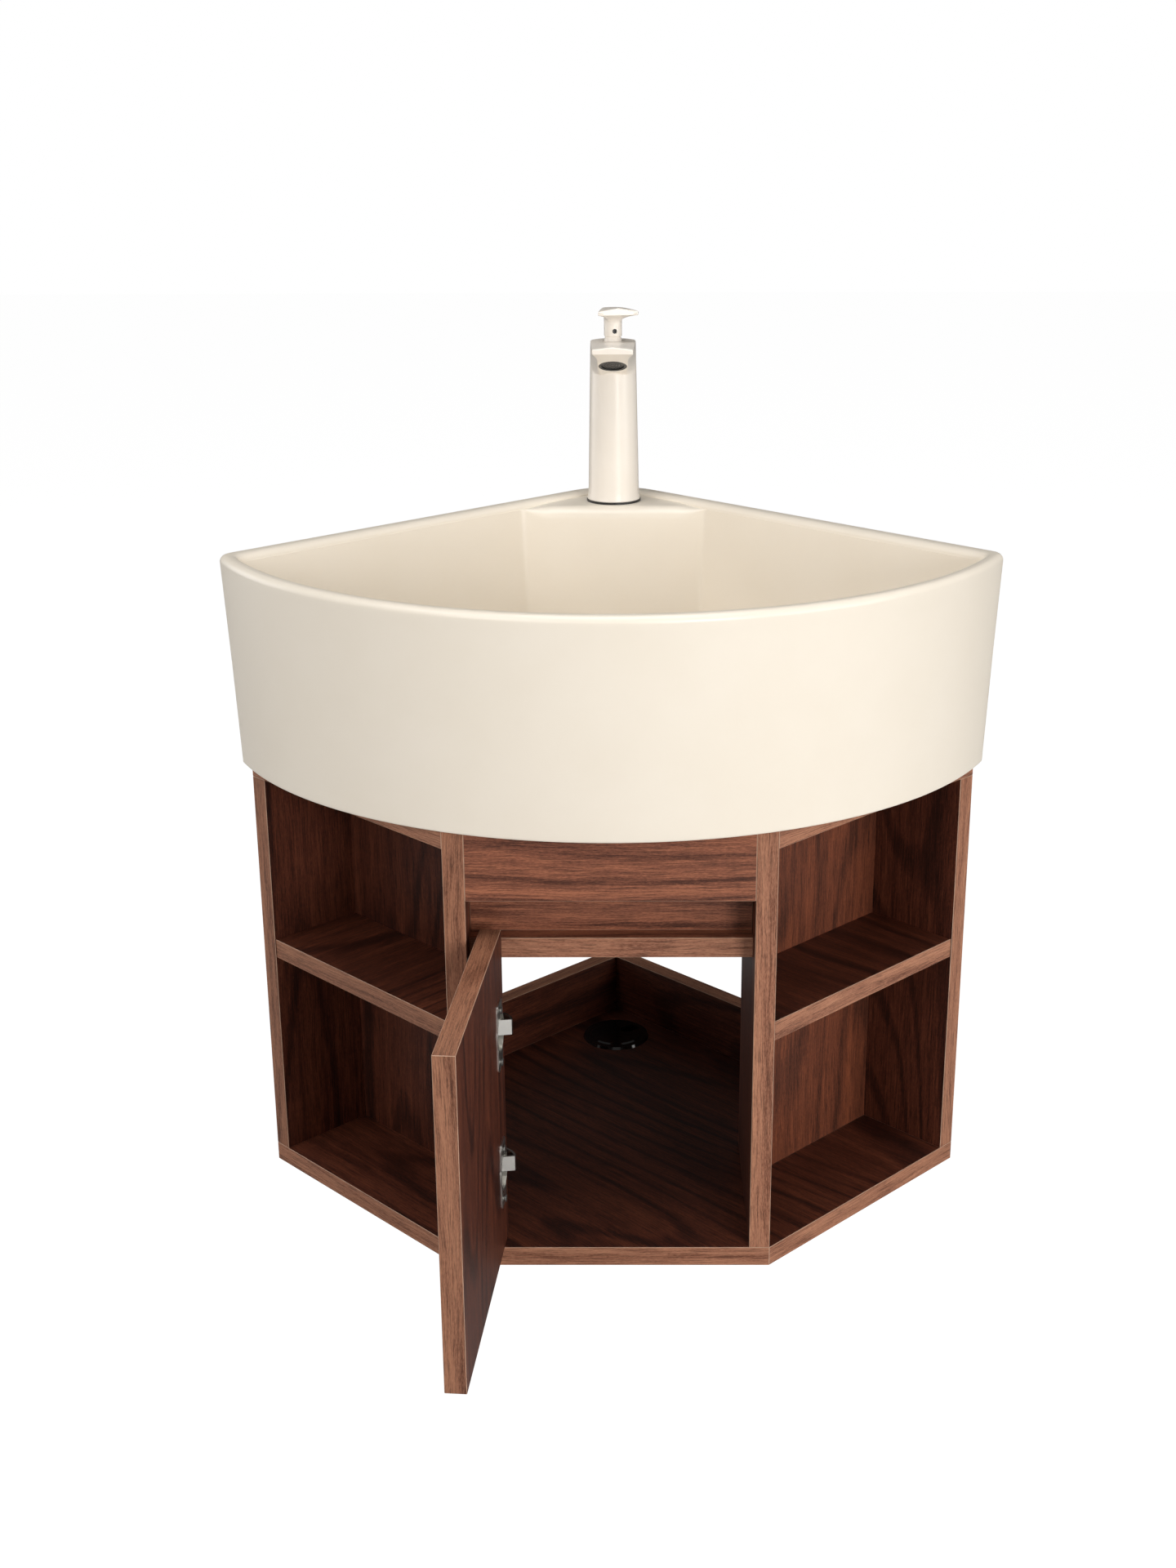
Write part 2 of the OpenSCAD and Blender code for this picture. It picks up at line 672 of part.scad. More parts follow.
// Body below the seat, with a crossed strainer that guides the plug's stem
module waste_body() color(chrome) at_waste() {
    difference() {
        union() {
            translate([0, 0, -62]) cylinder(r = 19.3, h = 61 - FIT);
            translate([0, 0, -66]) cylinder(r1 = tail_d / 2, r2 = 19.3, h = 4 + EPS);
            translate([0, 0, -126]) cylinder(d = tail_d, h = 60 + EPS);
        }
        translate([0, 0, -63]) cylinder(r = 17.5, h = 70);
        translate([0, 0, -130]) cylinder(r = tail_d / 2 - 1.5, h = 80);
    }
    difference() {
        union() {
            for (a = [0, 90]) rotate([0, 0, a]) translate([-18, -1.2, -34]) cube([36, 2.4, 5]);
            translate([0, 0, -40]) cylinder(r = 6, h = 14);
        }
        translate([0, 0, -41]) cylinder(r = 4.05, h = 20);
    }
}

module waste_washer() color(black) at_waste()
    translate([0, 0, waste_seat_z - waste_z + 2 - 4]) difference() {
        cylinder(r = 30, h = 4);
        translate([0, 0, -1]) cylinder(r = 19.3 + FIT, h = 6);
    }

module waste_nut() color(grey_plastic) at_waste()
    translate([0, 0, waste_seat_z - waste_z + 2 - 14]) difference() {
        cylinder(r = 29, h = 10, $fn = 6);
        translate([0, 0, -1]) cylinder(r = 19.3 + FIT, h = 12);
    }

// Plug and its stem, drawn in the raised position
module waste_plug() color(chrome) at_waste() translate([0, 0, plug_travel]) {
    translate([0, 0, 2.2]) cylinder(d1 = plug_d, d2 = plug_d - 4, h = 3);
    translate([0, 0, 0.2]) cylinder(r = 16.8, h = 2 + EPS);
    translate([0, 0, -46]) cylinder(r = 4, h = 47);
}

// ---------------------------------------------------------------- tap

module at_tap() translate([0, -tap_reach, 0]) children();

module tap_base_ring() color(black) at_tap() translate([0, 0, deck_z]) difference() {
    cylinder(d = tap_ring_d, h = ring_t);
    translate([0, 0, -1]) cylinder(r = shank_r + 0.5, h = ring_t + 2);
}

// Section of the spout's nose: a flat wedge with a low ridge
module nose(back) {
    w = nose_w / 2;
    translate([0, -spout_reach + back, 0]) rotate([90, 0, 0]) linear_extrude(EPS)
        polygon([[-w, nose_low], [w, nose_low], [w, nose_low + nose_side_t],
            [0, nose_low + nose_ridge], [-w, nose_low + nose_side_t]]);
}

module spout() {
    drop = (spout_reach - 10) * tan(spout_slope);
    hull() {
        nose(0);
        translate([0, 0, body_top - 8]) cylinder(d = tap_top_d - 0.4, h = 8 - EPS);
        translate([0, 0, nose_low - drop]) cylinder(r = 9, h = drop);
        aerator_place() cylinder(d = aerator_d + 2.5, h = 4);
    }
}

module tap_body() color(cream) at_tap() difference() {
    union() {
        translate([0, 0, body_z]) rotate_extrude() polygon(concat(
            [[0, 0], [tap_ring_d / 2 - 1, 0], [tap_ring_d / 2 - 0.6, 1], [tap_low_d / 2 + 0.6, 6],
                [tap_low_d / 2, 12]],
            arc([tap_top_d / 2 - 1, tap_h - ring_t - 1], 1, 0, 90, 4), [[0, tap_h - ring_t]]));
        spout();
    }
    translate([0, 0, cartridge_z]) cylinder(r = cartridge_r + FIT, h = 100);
    translate([0, 0, body_top - cap_t]) cylinder(r = cartridge_r + 2, h = 10);
    translate([0, 0, cartridge_z - 12]) cylinder(r = 12, h = 20);
    translate([0, 0, body_z - 1]) cylinder(r = shank_r + FIT, h = 15);
    for (s = [-1, 1]) translate([s * 7, 0, body_z]) cylinder(r = 3.5, h = cartridge_z - body_z);
    aerator_place() translate([0, 0, -1]) cylinder(d = aerator_d + 2 * FIT, h = 12);
    aerator_place() translate([0, 0, 5]) cylinder(r = 7, h = 9);
}

// Origin at the aerator's face in the spout's underside, z pointing up into the spout
module aerator_place() {
    translate([0, -spout_reach + aerator_back, nose_low - aerator_back * tan(spout_slope)])
        rotate([-spout_slope, 0, 0]) children();
}

module aerator_housing() color(black) at_tap() aerator_place() difference() {
    translate([0, 0, 0.3]) cylinder(d = aerator_d, h = 10);
    translate([0, 0, -1]) cylinder(r = aerator_d / 2 - 2.6, h = 14);
}

// Flow straightener: a disc with rings of small ports
module aerator_insert() color(grey_plastic) at_tap() aerator_place() difference() {
    translate([0, 0, 1.2]) cylinder(r = aerator_d / 2 - 2.6 - FIT, h = 5);
    for (ring = [0:2], i = [0:5 + 6 * ring])
        rotate([0, 0, i * 360 / (6 + 6 * ring)]) translate([2.6 + 2.6 * ring, 0, -1])
            cylinder(r = 0.8, h = 10, $fn = 6);
}

module cartridge_housing() color(grey_plastic) at_tap() translate([0, 0, cartridge_z]) difference() {
    cylinder(r = cartridge_r, h = cartridge_h);
    translate([0, 0, cartridge_h - 10]) cylinder(r = 12, h = 11);
    translate([0, 0, cartridge_h - 22]) cylinder(r = 6.1, h = 14);
}

// Rotor in the cartridge. It turns with the handle and carries the tilt axis in two ears.
module cartridge_rotor() color(grey_plastic) at_handle() {
    difference() {
        union() {
            translate([0, 0, rotor_low]) cylinder(r = 11.9, h = rotor_h);
            translate([0, 0, rotor_low - 12]) cylinder(r = 6, h = 13);
        }
        translate([0, 0, rotor_low + 2.4]) cylinder(r = 7.6, h = rotor_h);
    }
    difference() {
        for (s = [-1, 1]) translate([s * 5.2, 0, 0]) {
            translate([-1, -2.4, rotor_low + 2]) cube([2, 4.8, -rotor_low - 2]);
            rotate([0, 90, 0]) cylinder(r = 2.4, h = 2, center = true);
        }
        rotate([0, 90, 0]) cylinder(r = tilt_pin_r + FIT, h = 20, center = true);
    }
}

module tilt_pin() color(chrome) at_handle()
    rotate([0, 90, 0]) cylinder(r = tilt_pin_r, h = 12.4, center = true);

// Spindle between the rotor's ears, that the handle is clamped on
module cartridge_spindle() color(nickel) at_handle() difference() {
    union() {
        translate([-4, -4, 0]) cube([8, 8, 15]);
        rotate([0, 90, 0]) cylinder(r = 4, h = 8, center = true);
        translate([0, 0, -12]) cylinder(r = 2.2, h = 12);
    }
    rotate([0, 90, 0]) cylinder(r = tilt_pin_r + FIT, h = 10, center = true);
}

module cartridge_nut() color(nickel) at_tap() translate([0, 0, body_top - cap_t - nut_t]) difference() {
    cylinder(r = cartridge_r, h = nut_t);
    translate([0, 0, -1]) cylinder(r = socket_r, h = nut_t + 2);
}

// Flush cap round the handle's ball
module tap_cap() color(cream) at_tap() translate([0, 0, body_top - cap_t]) difference() {
    cylinder(r = cartridge_r + 2 - FIT, h = cap_t);
    translate([0, 0, -1]) cylinder(r = socket_r, h = cap_t + 2);
}

// Places children at the handle's pivot, turned as drawn; the lever points along -y
module at_handle() at_tap() translate([0, 0, ball_z]) rotate([0, 0, lever_turn]) children();

module tap_handle() color(cream) at_handle() {
    top = stem_h + 1.5;
    difference() {
        union() {
            sphere(r = ball_r);
            rotate_extrude() polygon([[0, 0], [ball_r - 1.6, 1.5], [stem_d / 2 - 1.2, 3.4],
                [stem_d / 2, 6.5], [stem_d / 2, top - 3], [0, top]]);
        }
        sphere(r = ball_r - 1.4);
        translate([0, 0, -ball_r - 1]) cylinder(r = ball_r - 1.4, h = ball_r + 1);
        translate([-4 - FIT, -4 - FIT, 0]) cube([8 + 2 * FIT, 8 + 2 * FIT, 15.2]);
        translate([0, 0, 11]) rotate([90, 0, 0]) cylinder(r = 2.2, h = 20);
    }
    hull() {
        translate([0, 0, top - 4]) cylinder(d = stem_d, h = 3);
        translate([0, 2, top]) cylinder(d = stem_d + 3, h = 5);
        translate([0, -lever_reach + EPS, top]) rotate([90, 0, 0]) linear_extrude(EPS)
            polygon([[-nose_w / 2, 0], [nose_w / 2, 0], [nose_w / 2, 4], [0, 7.5], [-nose_w / 2, 4]]);
    }
}

module handle_screw() color(nickel) at_handle()
    translate([0, -8, 11]) rotate([-90, 0, 0]) difference() {
        cylinder(r = 2.15, h = 4);
        translate([0, 0, -1]) cylinder(r = 1.1, h = 3, $fn = 6);
    }

// Threaded shank below the deck, with two ports for the inlet hoses
module tap_shank() color(nickel) at_tap() difference() {
    translate([0, 0, body_z + 12 - shank_len - 12]) cylinder(r = shank_r, h = shank_len + 12);
    for (s = [-1, 1]) translate([s * 7, 0, body_z - shank_len - 1]) cylinder(r = 4.3, h = 13);
    for (s = [-1, 1]) translate([s * 7, 0, body_z - shank_len]) cylinder(r = 3.5, h = shank_len + 20);
}

tap_seat_z = deck_z - deck_t;

module tap_washer() color(black) at_tap() translate([0, 0, tap_seat_z - 3]) difference() {
    cylinder(r = 20, h = 3);
    translate([0, 0, -1]) cylinder(r = shank_r + FIT, h = 5);
}

module tap_nut() color(nickel) at_tap() translate([0, 0, tap_seat_z - 12]) difference() {
    cylinder(r = 19.5, h = 9, $fn = 6);
    translate([0, 0, -1]) cylinder(r = shank_r + FIT, h = 11);
}

// ---------------------------------------------------------------- all pieces

bottom_panel();
top_panel();
left_divider();
right_divider();
left_niche_wall();
right_niche_wall();
left_back_panel();
right_back_panel();
left_niche_shelf();
right_niche_shelf();
frieze_rail();
recess_board();
stretcher();
left_low_rail();
right_low_rail();
left_hanging_rail();
right_hanging_rail();
cam_locks();
cam_bolts();
floor_outlet_sleeve();
floor_outlet_cap();
door();
hinge_cups();
hinge_pins();
cup_screws();
hinge_arms();
mounting_plates();
plate_screws();
arm_screws();
basin();
waste_flange();
waste_body();
waste_washer();
waste_nut();
waste_plug();
tap_base_ring();
tap_body();
aerator_housing();
aerator_insert();
cartridge_housing();
cartridge_rotor();
cartridge_spindle();
tilt_pin();
cartridge_nut();
tap_cap();
tap_handle();
handle_screw();
tap_shank();
tap_washer();
tap_nut();
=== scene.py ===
# %% [markdown]
# # Corner vanity unit
# A board cabinet for a room corner carries a ceramic basin and a tap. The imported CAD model
# comes in first and is the frame for everything here. Each piece is made where the CAD has
# it, with the room's corner at the origin and +Y pointing into it. Sizes are written in
# millimetres and become Blender's metres when a mesh is made.

# %% Load the frame
import json
import math
import bpy
import bmesh
import numpy as np
from mathutils import Matrix


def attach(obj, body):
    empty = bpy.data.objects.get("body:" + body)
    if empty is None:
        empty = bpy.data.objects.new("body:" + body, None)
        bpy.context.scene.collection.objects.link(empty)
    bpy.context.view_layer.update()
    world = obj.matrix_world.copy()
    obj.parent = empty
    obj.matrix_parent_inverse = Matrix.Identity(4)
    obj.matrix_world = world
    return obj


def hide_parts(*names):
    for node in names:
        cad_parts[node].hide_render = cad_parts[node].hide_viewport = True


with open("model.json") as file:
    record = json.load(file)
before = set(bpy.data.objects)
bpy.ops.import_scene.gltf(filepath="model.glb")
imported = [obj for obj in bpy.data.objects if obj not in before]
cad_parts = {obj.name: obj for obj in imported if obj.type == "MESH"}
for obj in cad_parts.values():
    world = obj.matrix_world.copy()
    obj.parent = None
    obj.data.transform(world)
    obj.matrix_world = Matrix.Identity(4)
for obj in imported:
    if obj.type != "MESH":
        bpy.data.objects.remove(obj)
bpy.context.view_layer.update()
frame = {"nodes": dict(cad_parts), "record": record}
nodes = frame["nodes"]
body_of_node = {n: b for b, ns in frame["record"]["behaviour"]["bodies"].items() for n in ns}
print("pieces in the frame:", len(nodes))

# %% [markdown]
# ## Camera
# The photograph was taken from a little over two metres, above the rim and almost straight
# in front. The lens is given in pixels of a 1440 x 1920 picture, and a small shift holds the
# picture's centre where it was.

# %% Camera
PIXELS, SENSOR_MM = (1440, 1920), 36.0
lens_px, centre_px = 2422.0, (760.7, 978.6)
camera_mm = (18.9, -2022.1, 965.6)
pitch, yaw, roll = 0.338135, 0.006455, -0.003510


def turned(angle):
    """Rotation about the vertical by an angle in radians, as a matrix."""
    c, s = math.cos(angle), math.sin(angle)
    return np.array([[c, -s, 0], [s, c, 0], [0, 0, 1]])


def camera_axes(pitch, yaw, roll):
    """Right, up and forward axes: forward looks along +Y, tipped down by the pitch, then
    turned about the vertical by the yaw, and the picture is rolled about forward."""
    forward = turned(yaw) @ np.array([0, math.cos(pitch), -math.sin(pitch)])
    up = turned(yaw) @ np.array([0, math.sin(pitch), math.cos(pitch)])
    right = turned(yaw) @ np.array([1.0, 0, 0])
    c, s = math.cos(roll), math.sin(roll)
    return c * right + s * up, c * up - s * right, forward


right, up, forward = camera_axes(pitch, yaw, roll)
camera_data = bpy.data.cameras.new("camera")
camera_data.sensor_fit = "VERTICAL"
camera_data.sensor_height = SENSOR_MM
camera_data.lens = SENSOR_MM * lens_px / PIXELS[1]
camera_data.shift_x = (PIXELS[0] / 2 - centre_px[0]) / PIXELS[1]
camera_data.shift_y = (centre_px[1] - PIXELS[1] / 2) / PIXELS[1]
camera_data.clip_end = 30.0
camera = bpy.data.objects.new("camera", camera_data)
rows = [[right[i], up[i], -forward[i], camera_mm[i] / 1000] for i in range(3)] + [[0, 0, 0, 1]]
camera.matrix_world = Matrix(rows)
bpy.context.scene.collection.objects.link(camera)
bpy.context.scene.camera = camera
bpy.context.scene.view_settings.view_transform = "Standard"
print("lens", round(camera_data.lens, 2), "mm")

# %% [markdown]
# ## Light
# A plain studio. Two lamps stand low on the right, three weaker ones light the left from the
# front, the side and above, and one hangs overhead. Their shares were set by the mean tones of
# the basin and the shelves. The surround gives a little soft light, more of it from the front.
# The camera sees it as pure white.


# %% Node helpers
def feed(tree, target, inputs):
    """Gives a node's sockets, by name or number, a value or another node's output socket."""
    for key, value in inputs.items():
        if isinstance(value, bpy.types.NodeSocket):
            tree.links.new(value, target.inputs[key])
        else:
            target.inputs[key].default_value = value


def add_node(tree, kind, inputs=None, **settings):
    """Adds one node. Settings are its attributes, inputs its sockets."""
    made = tree.nodes.new(kind)
    for key, value in settings.items():
        setattr(made, key, value)
    feed(tree, made, inputs or {})
    return made


def map_range(tree, value, low=0.0, high=1.0, to_low=0.0, to_high=1.0):
    """Maps a value's span from low to high onto the span from to_low to to_high, clamped."""
    ends = {"From Min": low, "From Max": high, "To Min": to_low, "To Max": to_high}
    return add_node(tree, "ShaderNodeMapRange", {"Value": value, **ends}).outputs[0]


# %% World
SURROUND_BACK, SURROUND_FRONT, GLOSS_EXTRA = 0.02, 0.16, 2.0
WARM_WHITE = (1, 0.99, 0.97, 1)
world = bpy.data.worlds.new("studio")
bpy.context.scene.world = world
world.use_nodes = True
tree = world.node_tree
tree.nodes.clear()
path = add_node(tree, "ShaderNodeLightPath")
seen = add_node(tree, "ShaderNodeMath", {0: path.outputs["Is Camera Ray"],
                                         1: path.outputs["Is Transmission Ray"]}, operation="MAXIMUM")
# The surround's light falls off from the front (-Y) to the back. A glossy ray sees it three
# times as bright, for the sheen.
direction = add_node(tree, "ShaderNodeTexCoord")
parts = add_node(tree, "ShaderNodeSeparateXYZ", {0: direction.outputs["Generated"]})
front = map_range(tree, parts.outputs[1], 1.0, -1.0, SURROUND_BACK, SURROUND_FRONT)
gloss = add_node(tree, "ShaderNodeMath", {0: path.outputs["Is Glossy Ray"], 1: GLOSS_EXTRA,
                                          2: 1.0}, operation="MULTIPLY_ADD")
level = add_node(tree, "ShaderNodeMath", {0: front, 1: gloss.outputs[0]}, operation="MULTIPLY")
soft = add_node(tree, "ShaderNodeBackground", {"Color": WARM_WHITE, "Strength": level.outputs[0]})
white = add_node(tree, "ShaderNodeBackground", {"Color": (1, 1, 1, 1), "Strength": 1.0})
both = add_node(tree, "ShaderNodeMixShader", {0: seen.outputs[0], 1: soft.outputs[0],
                                              2: white.outputs[0]})
add_node(tree, "ShaderNodeOutputWorld", {"Surface": both.outputs[0]})

# %% Lamps
# The point all lamps face, in metres: the middle of the unit, near the top of the cabinet.
AIM, LAMP_COLOUR = np.array([0, -0.3, 0.4]), (1, 0.99, 0.975)


def add_lamp(name, azimuth, height, distance, size, power):
    """A square lamp that faces the aim. Seen from there it stands at an azimuth (0 in front,
    positive to the right) and a height angle, both in degrees; distance and size in metres."""
    a, h = math.radians(azimuth), math.radians(height)
    away = np.array([math.sin(a) * math.cos(h), -math.cos(a) * math.cos(h), math.sin(h)])
    lamp = bpy.data.lights.new(name, "AREA")
    lamp.shape = "SQUARE"
    lamp.size = size
    lamp.energy = power
    lamp.color = LAMP_COLOUR
    thing = bpy.data.objects.new(name, lamp)
    spot = away * distance + AIM
    thing.location = spot
    x, y, z = AIM - spot
    thing.rotation_euler = (math.atan2(math.hypot(x, y), -z), 0, math.atan2(y, x) - math.pi / 2)
    bpy.context.scene.collection.objects.link(thing)


add_lamp("right_lamp", 60, 9, 2.6, 1.4, 21)
add_lamp("front_right_lamp", 24, 9, 3.2, 0.9, 38)
add_lamp("front_left_lamp", -34, 24, 3.2, 1.2, 18)
add_lamp("left_lamp", -112, 9, 3.2, 1.7, 20)
add_lamp("high_left_lamp", -62, 48, 3.2, 1.2, 17)
add_lamp("top_lamp", 0, 80, 2.8, 1.6, 34)

# %% [markdown]
# ## Colour and mesh helpers
# Colours are written as they look on a screen and turned to the linear values that the
# renderer works with. The points of each new mesh are worked out as whole arrays.


# %% Colour and material helpers
def linear(hex_colour):
    """sRGB hex to linear: each channel c becomes c/12.92 if dark, else ((c+0.055)/1.055)^2.4."""
    c = np.array([int(hex_colour[i:i + 2], 16) for i in (1, 3, 5)]) / 255
    c = np.where(c <= 0.04045, c / 12.92, ((c + 0.055) / 1.055) ** 2.4)
    return (float(c[0]), float(c[1]), float(c[2]), 1.0)


def new_material(name):
    """An empty node material with its shader and output, ready for patterns."""
    material = bpy.data.materials.new(name)
    material.use_nodes = True
    material.node_tree.nodes.clear()
    tree = material.node_tree
    shader = add_node(tree, "ShaderNodeBsdfPrincipled")
    add_node(tree, "ShaderNodeOutputMaterial", {"Surface": shader.outputs[0]})
    return material, tree, shader


def mottled_material(name, dark, light, rough, scale, detail=4.0, metallic=0.0,
                     bump=(0.08, 0.0002), fine=None):
    """A finish whose colour, from dark to light, and whose roughness, over its span, follow one
    soft noise. The bump (its strength, and its height in metres) follows a finer noise where
    one is given, or else the same one. Both scales are in waves per metre."""
    material, tree, shader = new_material(name)
    where = add_node(tree, "ShaderNodeTexCoord").outputs["Object"]

    def noise(scale, detail=2.0):
        """Noise over the piece's own coordinates."""
        return add_node(tree, "ShaderNodeTexNoise", {"Vector": where, "Scale": scale,
                                                     "Detail": detail}).outputs[0]

    cloud = noise(scale, detail)
    # A Mix node's sockets 6 and 7 are its two colours, and its output 2 is the mixed one.
    tone = add_node(tree, "ShaderNodeMix", {0: cloud, 6: linear(dark), 7: linear(light)},
                    data_type="RGBA")
    feed(tree, shader, {"Base Color": tone.outputs[2], "Metallic": metallic,
                        "Roughness": map_range(tree, cloud, to_low=rough[0], to_high=rough[1])})
    if bump:
        lifted = add_node(tree, "ShaderNodeBump", {"Height": noise(fine) if fine else cloud,
                                                   "Strength": bump[0], "Distance": bump[1]})
        feed(tree, shader, {"Normal": lifted.outputs[0]})
    return material


# %% Mesh helpers
def mesh_object(name, points, faces, smooth=True):
    """A mesh object from an (n, 3) array in millimetres and a list of faces."""
    mesh = bpy.data.meshes.new(name)
    mesh.from_pydata((np.asarray(points) / 1000).tolist(), [], faces)
    mesh.polygons.foreach_set("use_smooth", np.full(len(mesh.polygons), smooth))
    mesh.update()
    thing = bpy.data.objects.new(name, mesh)
    bpy.context.scene.collection.objects.link(thing)
    return thing


def grid_object(name, grid, closed_rows=False, cap_start=False, cap_end=False):
    """A surface through a (rows, columns, 3) grid of points in millimetres. The columns close
    into a ring; rows may close too, and an end ring may be capped by one face."""
    rows, cols = grid.shape[:2]
    count = rows if closed_rows else rows - 1
    i, j = np.meshgrid(np.arange(count), np.arange(cols), indexing="ij")
    i2, j2 = (i + 1) % rows, (j + 1) % cols
    corners = [i * cols + j, i * cols + j2, i2 * cols + j2, i2 * cols + j]
    faces = np.stack(corners, -1).reshape(-1, 4).tolist()
    if cap_start:
        faces.append(list(range(cols))[::-1])
    if cap_end:
        faces.append([(rows - 1) * cols + k for k in range(cols)])
    return mesh_object(name, grid.reshape(-1, 3), faces)


def ring_arrays(rings, directions):
    """Radii and heights as two arrays, one row per ring and one column per direction, from
    (radius, height) pairs in which either may be one number for all directions."""
    return [np.array([np.broadcast_to(ring[i], directions.shape) for ring in rings]) for i in (0, 1)]


def tidy(thing, distance=0.00002):
    """Merges points within the distance, in metres, drops collapsed faces and turns all faces
    outwards."""
    bm = bmesh.new()
    bm.from_mesh(thing.data)
    bmesh.ops.remove_doubles(bm, verts=bm.verts, dist=distance)
    bmesh.ops.dissolve_degenerate(bm, dist=distance / 2, edges=bm.edges)
    bmesh.ops.recalc_face_normals(bm, faces=bm.faces)
    bm.to_mesh(thing.data)
    bm.free()
    return thing


# %% Place and finish helpers
def place(thing, node, material=None):
    """The piece rides with its node's body, stands for the node and takes its finish slot."""
    if material:
        thing.data.materials.append(material)
    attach(thing, body_of_node[node])
    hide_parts(node)


def finish_node(node, material):
    """Gives a CAD node that keeps its own mesh its finish."""
    nodes[node].data.materials.clear()
    nodes[node].data.materials.append(material)


# %% [markdown]
# ## Walnut-look board
# The boards are melamine-faced chipboard printed as walnut: satin, with wandering fibres. Its
# own UV map, in metres along and across the grain, carries the pattern, so it follows each
# board. Bands are some 12 mm wide; the dark strokes are some 20 mm long and 1 mm wide.

# %% Sizes of the walnut pattern
# Each noise: waves per metre along and across the grain, detail and roughness.
DRIFT, RIPPLE, ARCHES = (3, 8, 1.0, 0.5), (17, 48, 2.0, 0.5), (1.1, 5.5, 1.0, 0.4)
BANDS, FINE = (1.8, 84, 3.0, 0.6), (20, 560, 5.0, 0.8)
PORES, STROKES = (260, 1400, 3.0, 0.65), (45, 1000, 2.0, 0.5)
# How far, in metres, the drift and the ripple move a point across the grain.
DRIFT_REACH, RIPPLE_REACH = 0.016, 0.0035
# Turns of the contour lines' sine: radians per unit of the slow noise, and per metre across.
ARCH_TURNS, LINE_TURNS = 78.0, 150.0
# Shares of the three noises in the tone, and where the three tones lie on it.
FINE_SHARE, BAND_SHARE, PORE_SHARE = 0.46, 0.26, 0.28
TONE_PLACES = (0.39, 0.48, 0.58)
# The noise's span over which a stroke darkens, where the sine's crest turns into a line, and
# the roughness over the fine noise.
STROKE_SPAN, LINE_FROM, WALNUT_ROUGH = (0.52, 0.63), 0.55, (0.44, 0.58)


# %% Walnut material
def walnut_material(name, tones, strokes=0.42, arches=0.06):
    """Walnut print in three tones. Noise moves each point across the grain, so nothing runs
    dead straight. Over it lie broad bands, contour lines of a slow noise (the arches of a
    plain-sawn board), fine streaks, pores and short dark strokes."""
    material, tree, shader = new_material(name)
    uv = add_node(tree, "ShaderNodeUVMap", uv_map="grain").outputs[0]

    def noise(pattern, vector=uv):
        """One of the noises above, over the board's own map or a moved copy of it."""
        along, across, detail, rough = pattern
        spot = add_node(tree, "ShaderNodeMapping", {"Vector": vector, "Scale": (along, across, 1)})
        return add_node(tree, "ShaderNodeTexNoise", {"Vector": spot.outputs[0], "Scale": 1.0,
                                                     "Detail": detail, "Roughness": rough}).outputs[0]

    def maths(operation, *values):
        """Arithmetic on sockets and numbers; MULTIPLY_ADD is first x second + third."""
        return add_node(tree, "ShaderNodeMath", dict(enumerate(values)), operation=operation).outputs[0]

    parts = add_node(tree, "ShaderNodeSeparateXYZ", {0: uv})
    drift = maths("MULTIPLY_ADD", noise(DRIFT), DRIFT_REACH, parts.outputs[1])
    ripple = maths("MULTIPLY_ADD", noise(RIPPLE), RIPPLE_REACH, drift)
    moved = add_node(tree, "ShaderNodeCombineXYZ", {0: parts.outputs[0], 1: ripple}).outputs[0]
    bands, fine, pores = (noise(pattern, moved) for pattern in (BANDS, FINE, PORES))
    stroke = map_range(tree, noise(STROKES, moved), *STROKE_SPAN)
    phase = maths("MULTIPLY_ADD", noise(ARCHES), ARCH_TURNS, maths("MULTIPLY", ripple, LINE_TURNS))
    line = map_range(tree, maths("SINE", phase), LINE_FROM, to_high=arches)
    mixed = maths("MULTIPLY_ADD", bands, BAND_SHARE, maths("MULTIPLY", pores, PORE_SHARE))
    mixed = maths("MULTIPLY_ADD", fine, FINE_SHARE, mixed)
    ramp = add_node(tree, "ShaderNodeValToRGB", {"Fac": maths("SUBTRACT", mixed, line)})
    ramp.color_ramp.elements.new(TONE_PLACES[1])
    for element, position, tone in zip(ramp.color_ramp.elements, TONE_PLACES, tones):
        element.position = position
        element.color = linear(tone)
    depth = maths("MULTIPLY_ADD", stroke, -strokes, 1.0)
    colour = add_node(tree, "ShaderNodeVectorMath", {0: ramp.outputs[0], "Scale": depth},
                      operation="SCALE")
    bump = add_node(tree, "ShaderNodeBump", {"Height": depth, "Strength": 0.15, "Distance": 0.0003})
    feed(tree, shader, {"Base Color": colour.outputs[0], "Normal": bump.outputs[0], "IOR": 1.5,
                        "Roughness": map_range(tree, fine, 0.0, 1.0, *WALNUT_ROUGH),
                        "Specular IOR Level": 0.3})
    return material


# %% Finishes of the boards
# Dark, middle and light tone; where they follow, the depth of the strokes and the arches.
walnut = walnut_material("walnut_melamine", ("#4C281A", "#7E4B37", "#A8694C"))
# A darker, warmer copy of the print for the right niche wall: painted shade in the niche.
walnut_niche_painted_shade = walnut_material("walnut_melamine_niche", ("#3E2014", "#633422", "#84482E"))
# A darker copy of the print, painted shade: the broad faces inside the cabinet, the door's inner face
# and the left niche wall take it.
walnut_painted_shade = walnut_material("walnut_melamine_painted_shade", ("#2C130C", "#4E2518", "#6E3B27"), 0.5, 0.08)
walnut_edge = walnut_material("walnut_edge_band", ("#6C402E", "#9F6C53", "#BA8466"), 0.4, 0.04)
# A darker copy of the edging for the left boards and the door: painted shade, for light that falls off
# towards the left.
walnut_edge_painted_shade = walnut_material("walnut_edge_band_painted_shade", ("#5E3726", "#8E5F48", "#A87559"),
                                   0.4, 0.04)
# The bare line where a face meets its glued edging: a light tan, a little uneven.
edge_line = mottled_material("edging_line_tan", "#8F6A56", "#C9A68D", (0.6, 0.6), 90.0, 3.0,
                             bump=None)

# %% [markdown]
# ## Boards
# Every board is a flat outline seen from above, raised between two heights. A half-millimetre
# bevel gives each edge its glint and carries the light line of the edging.

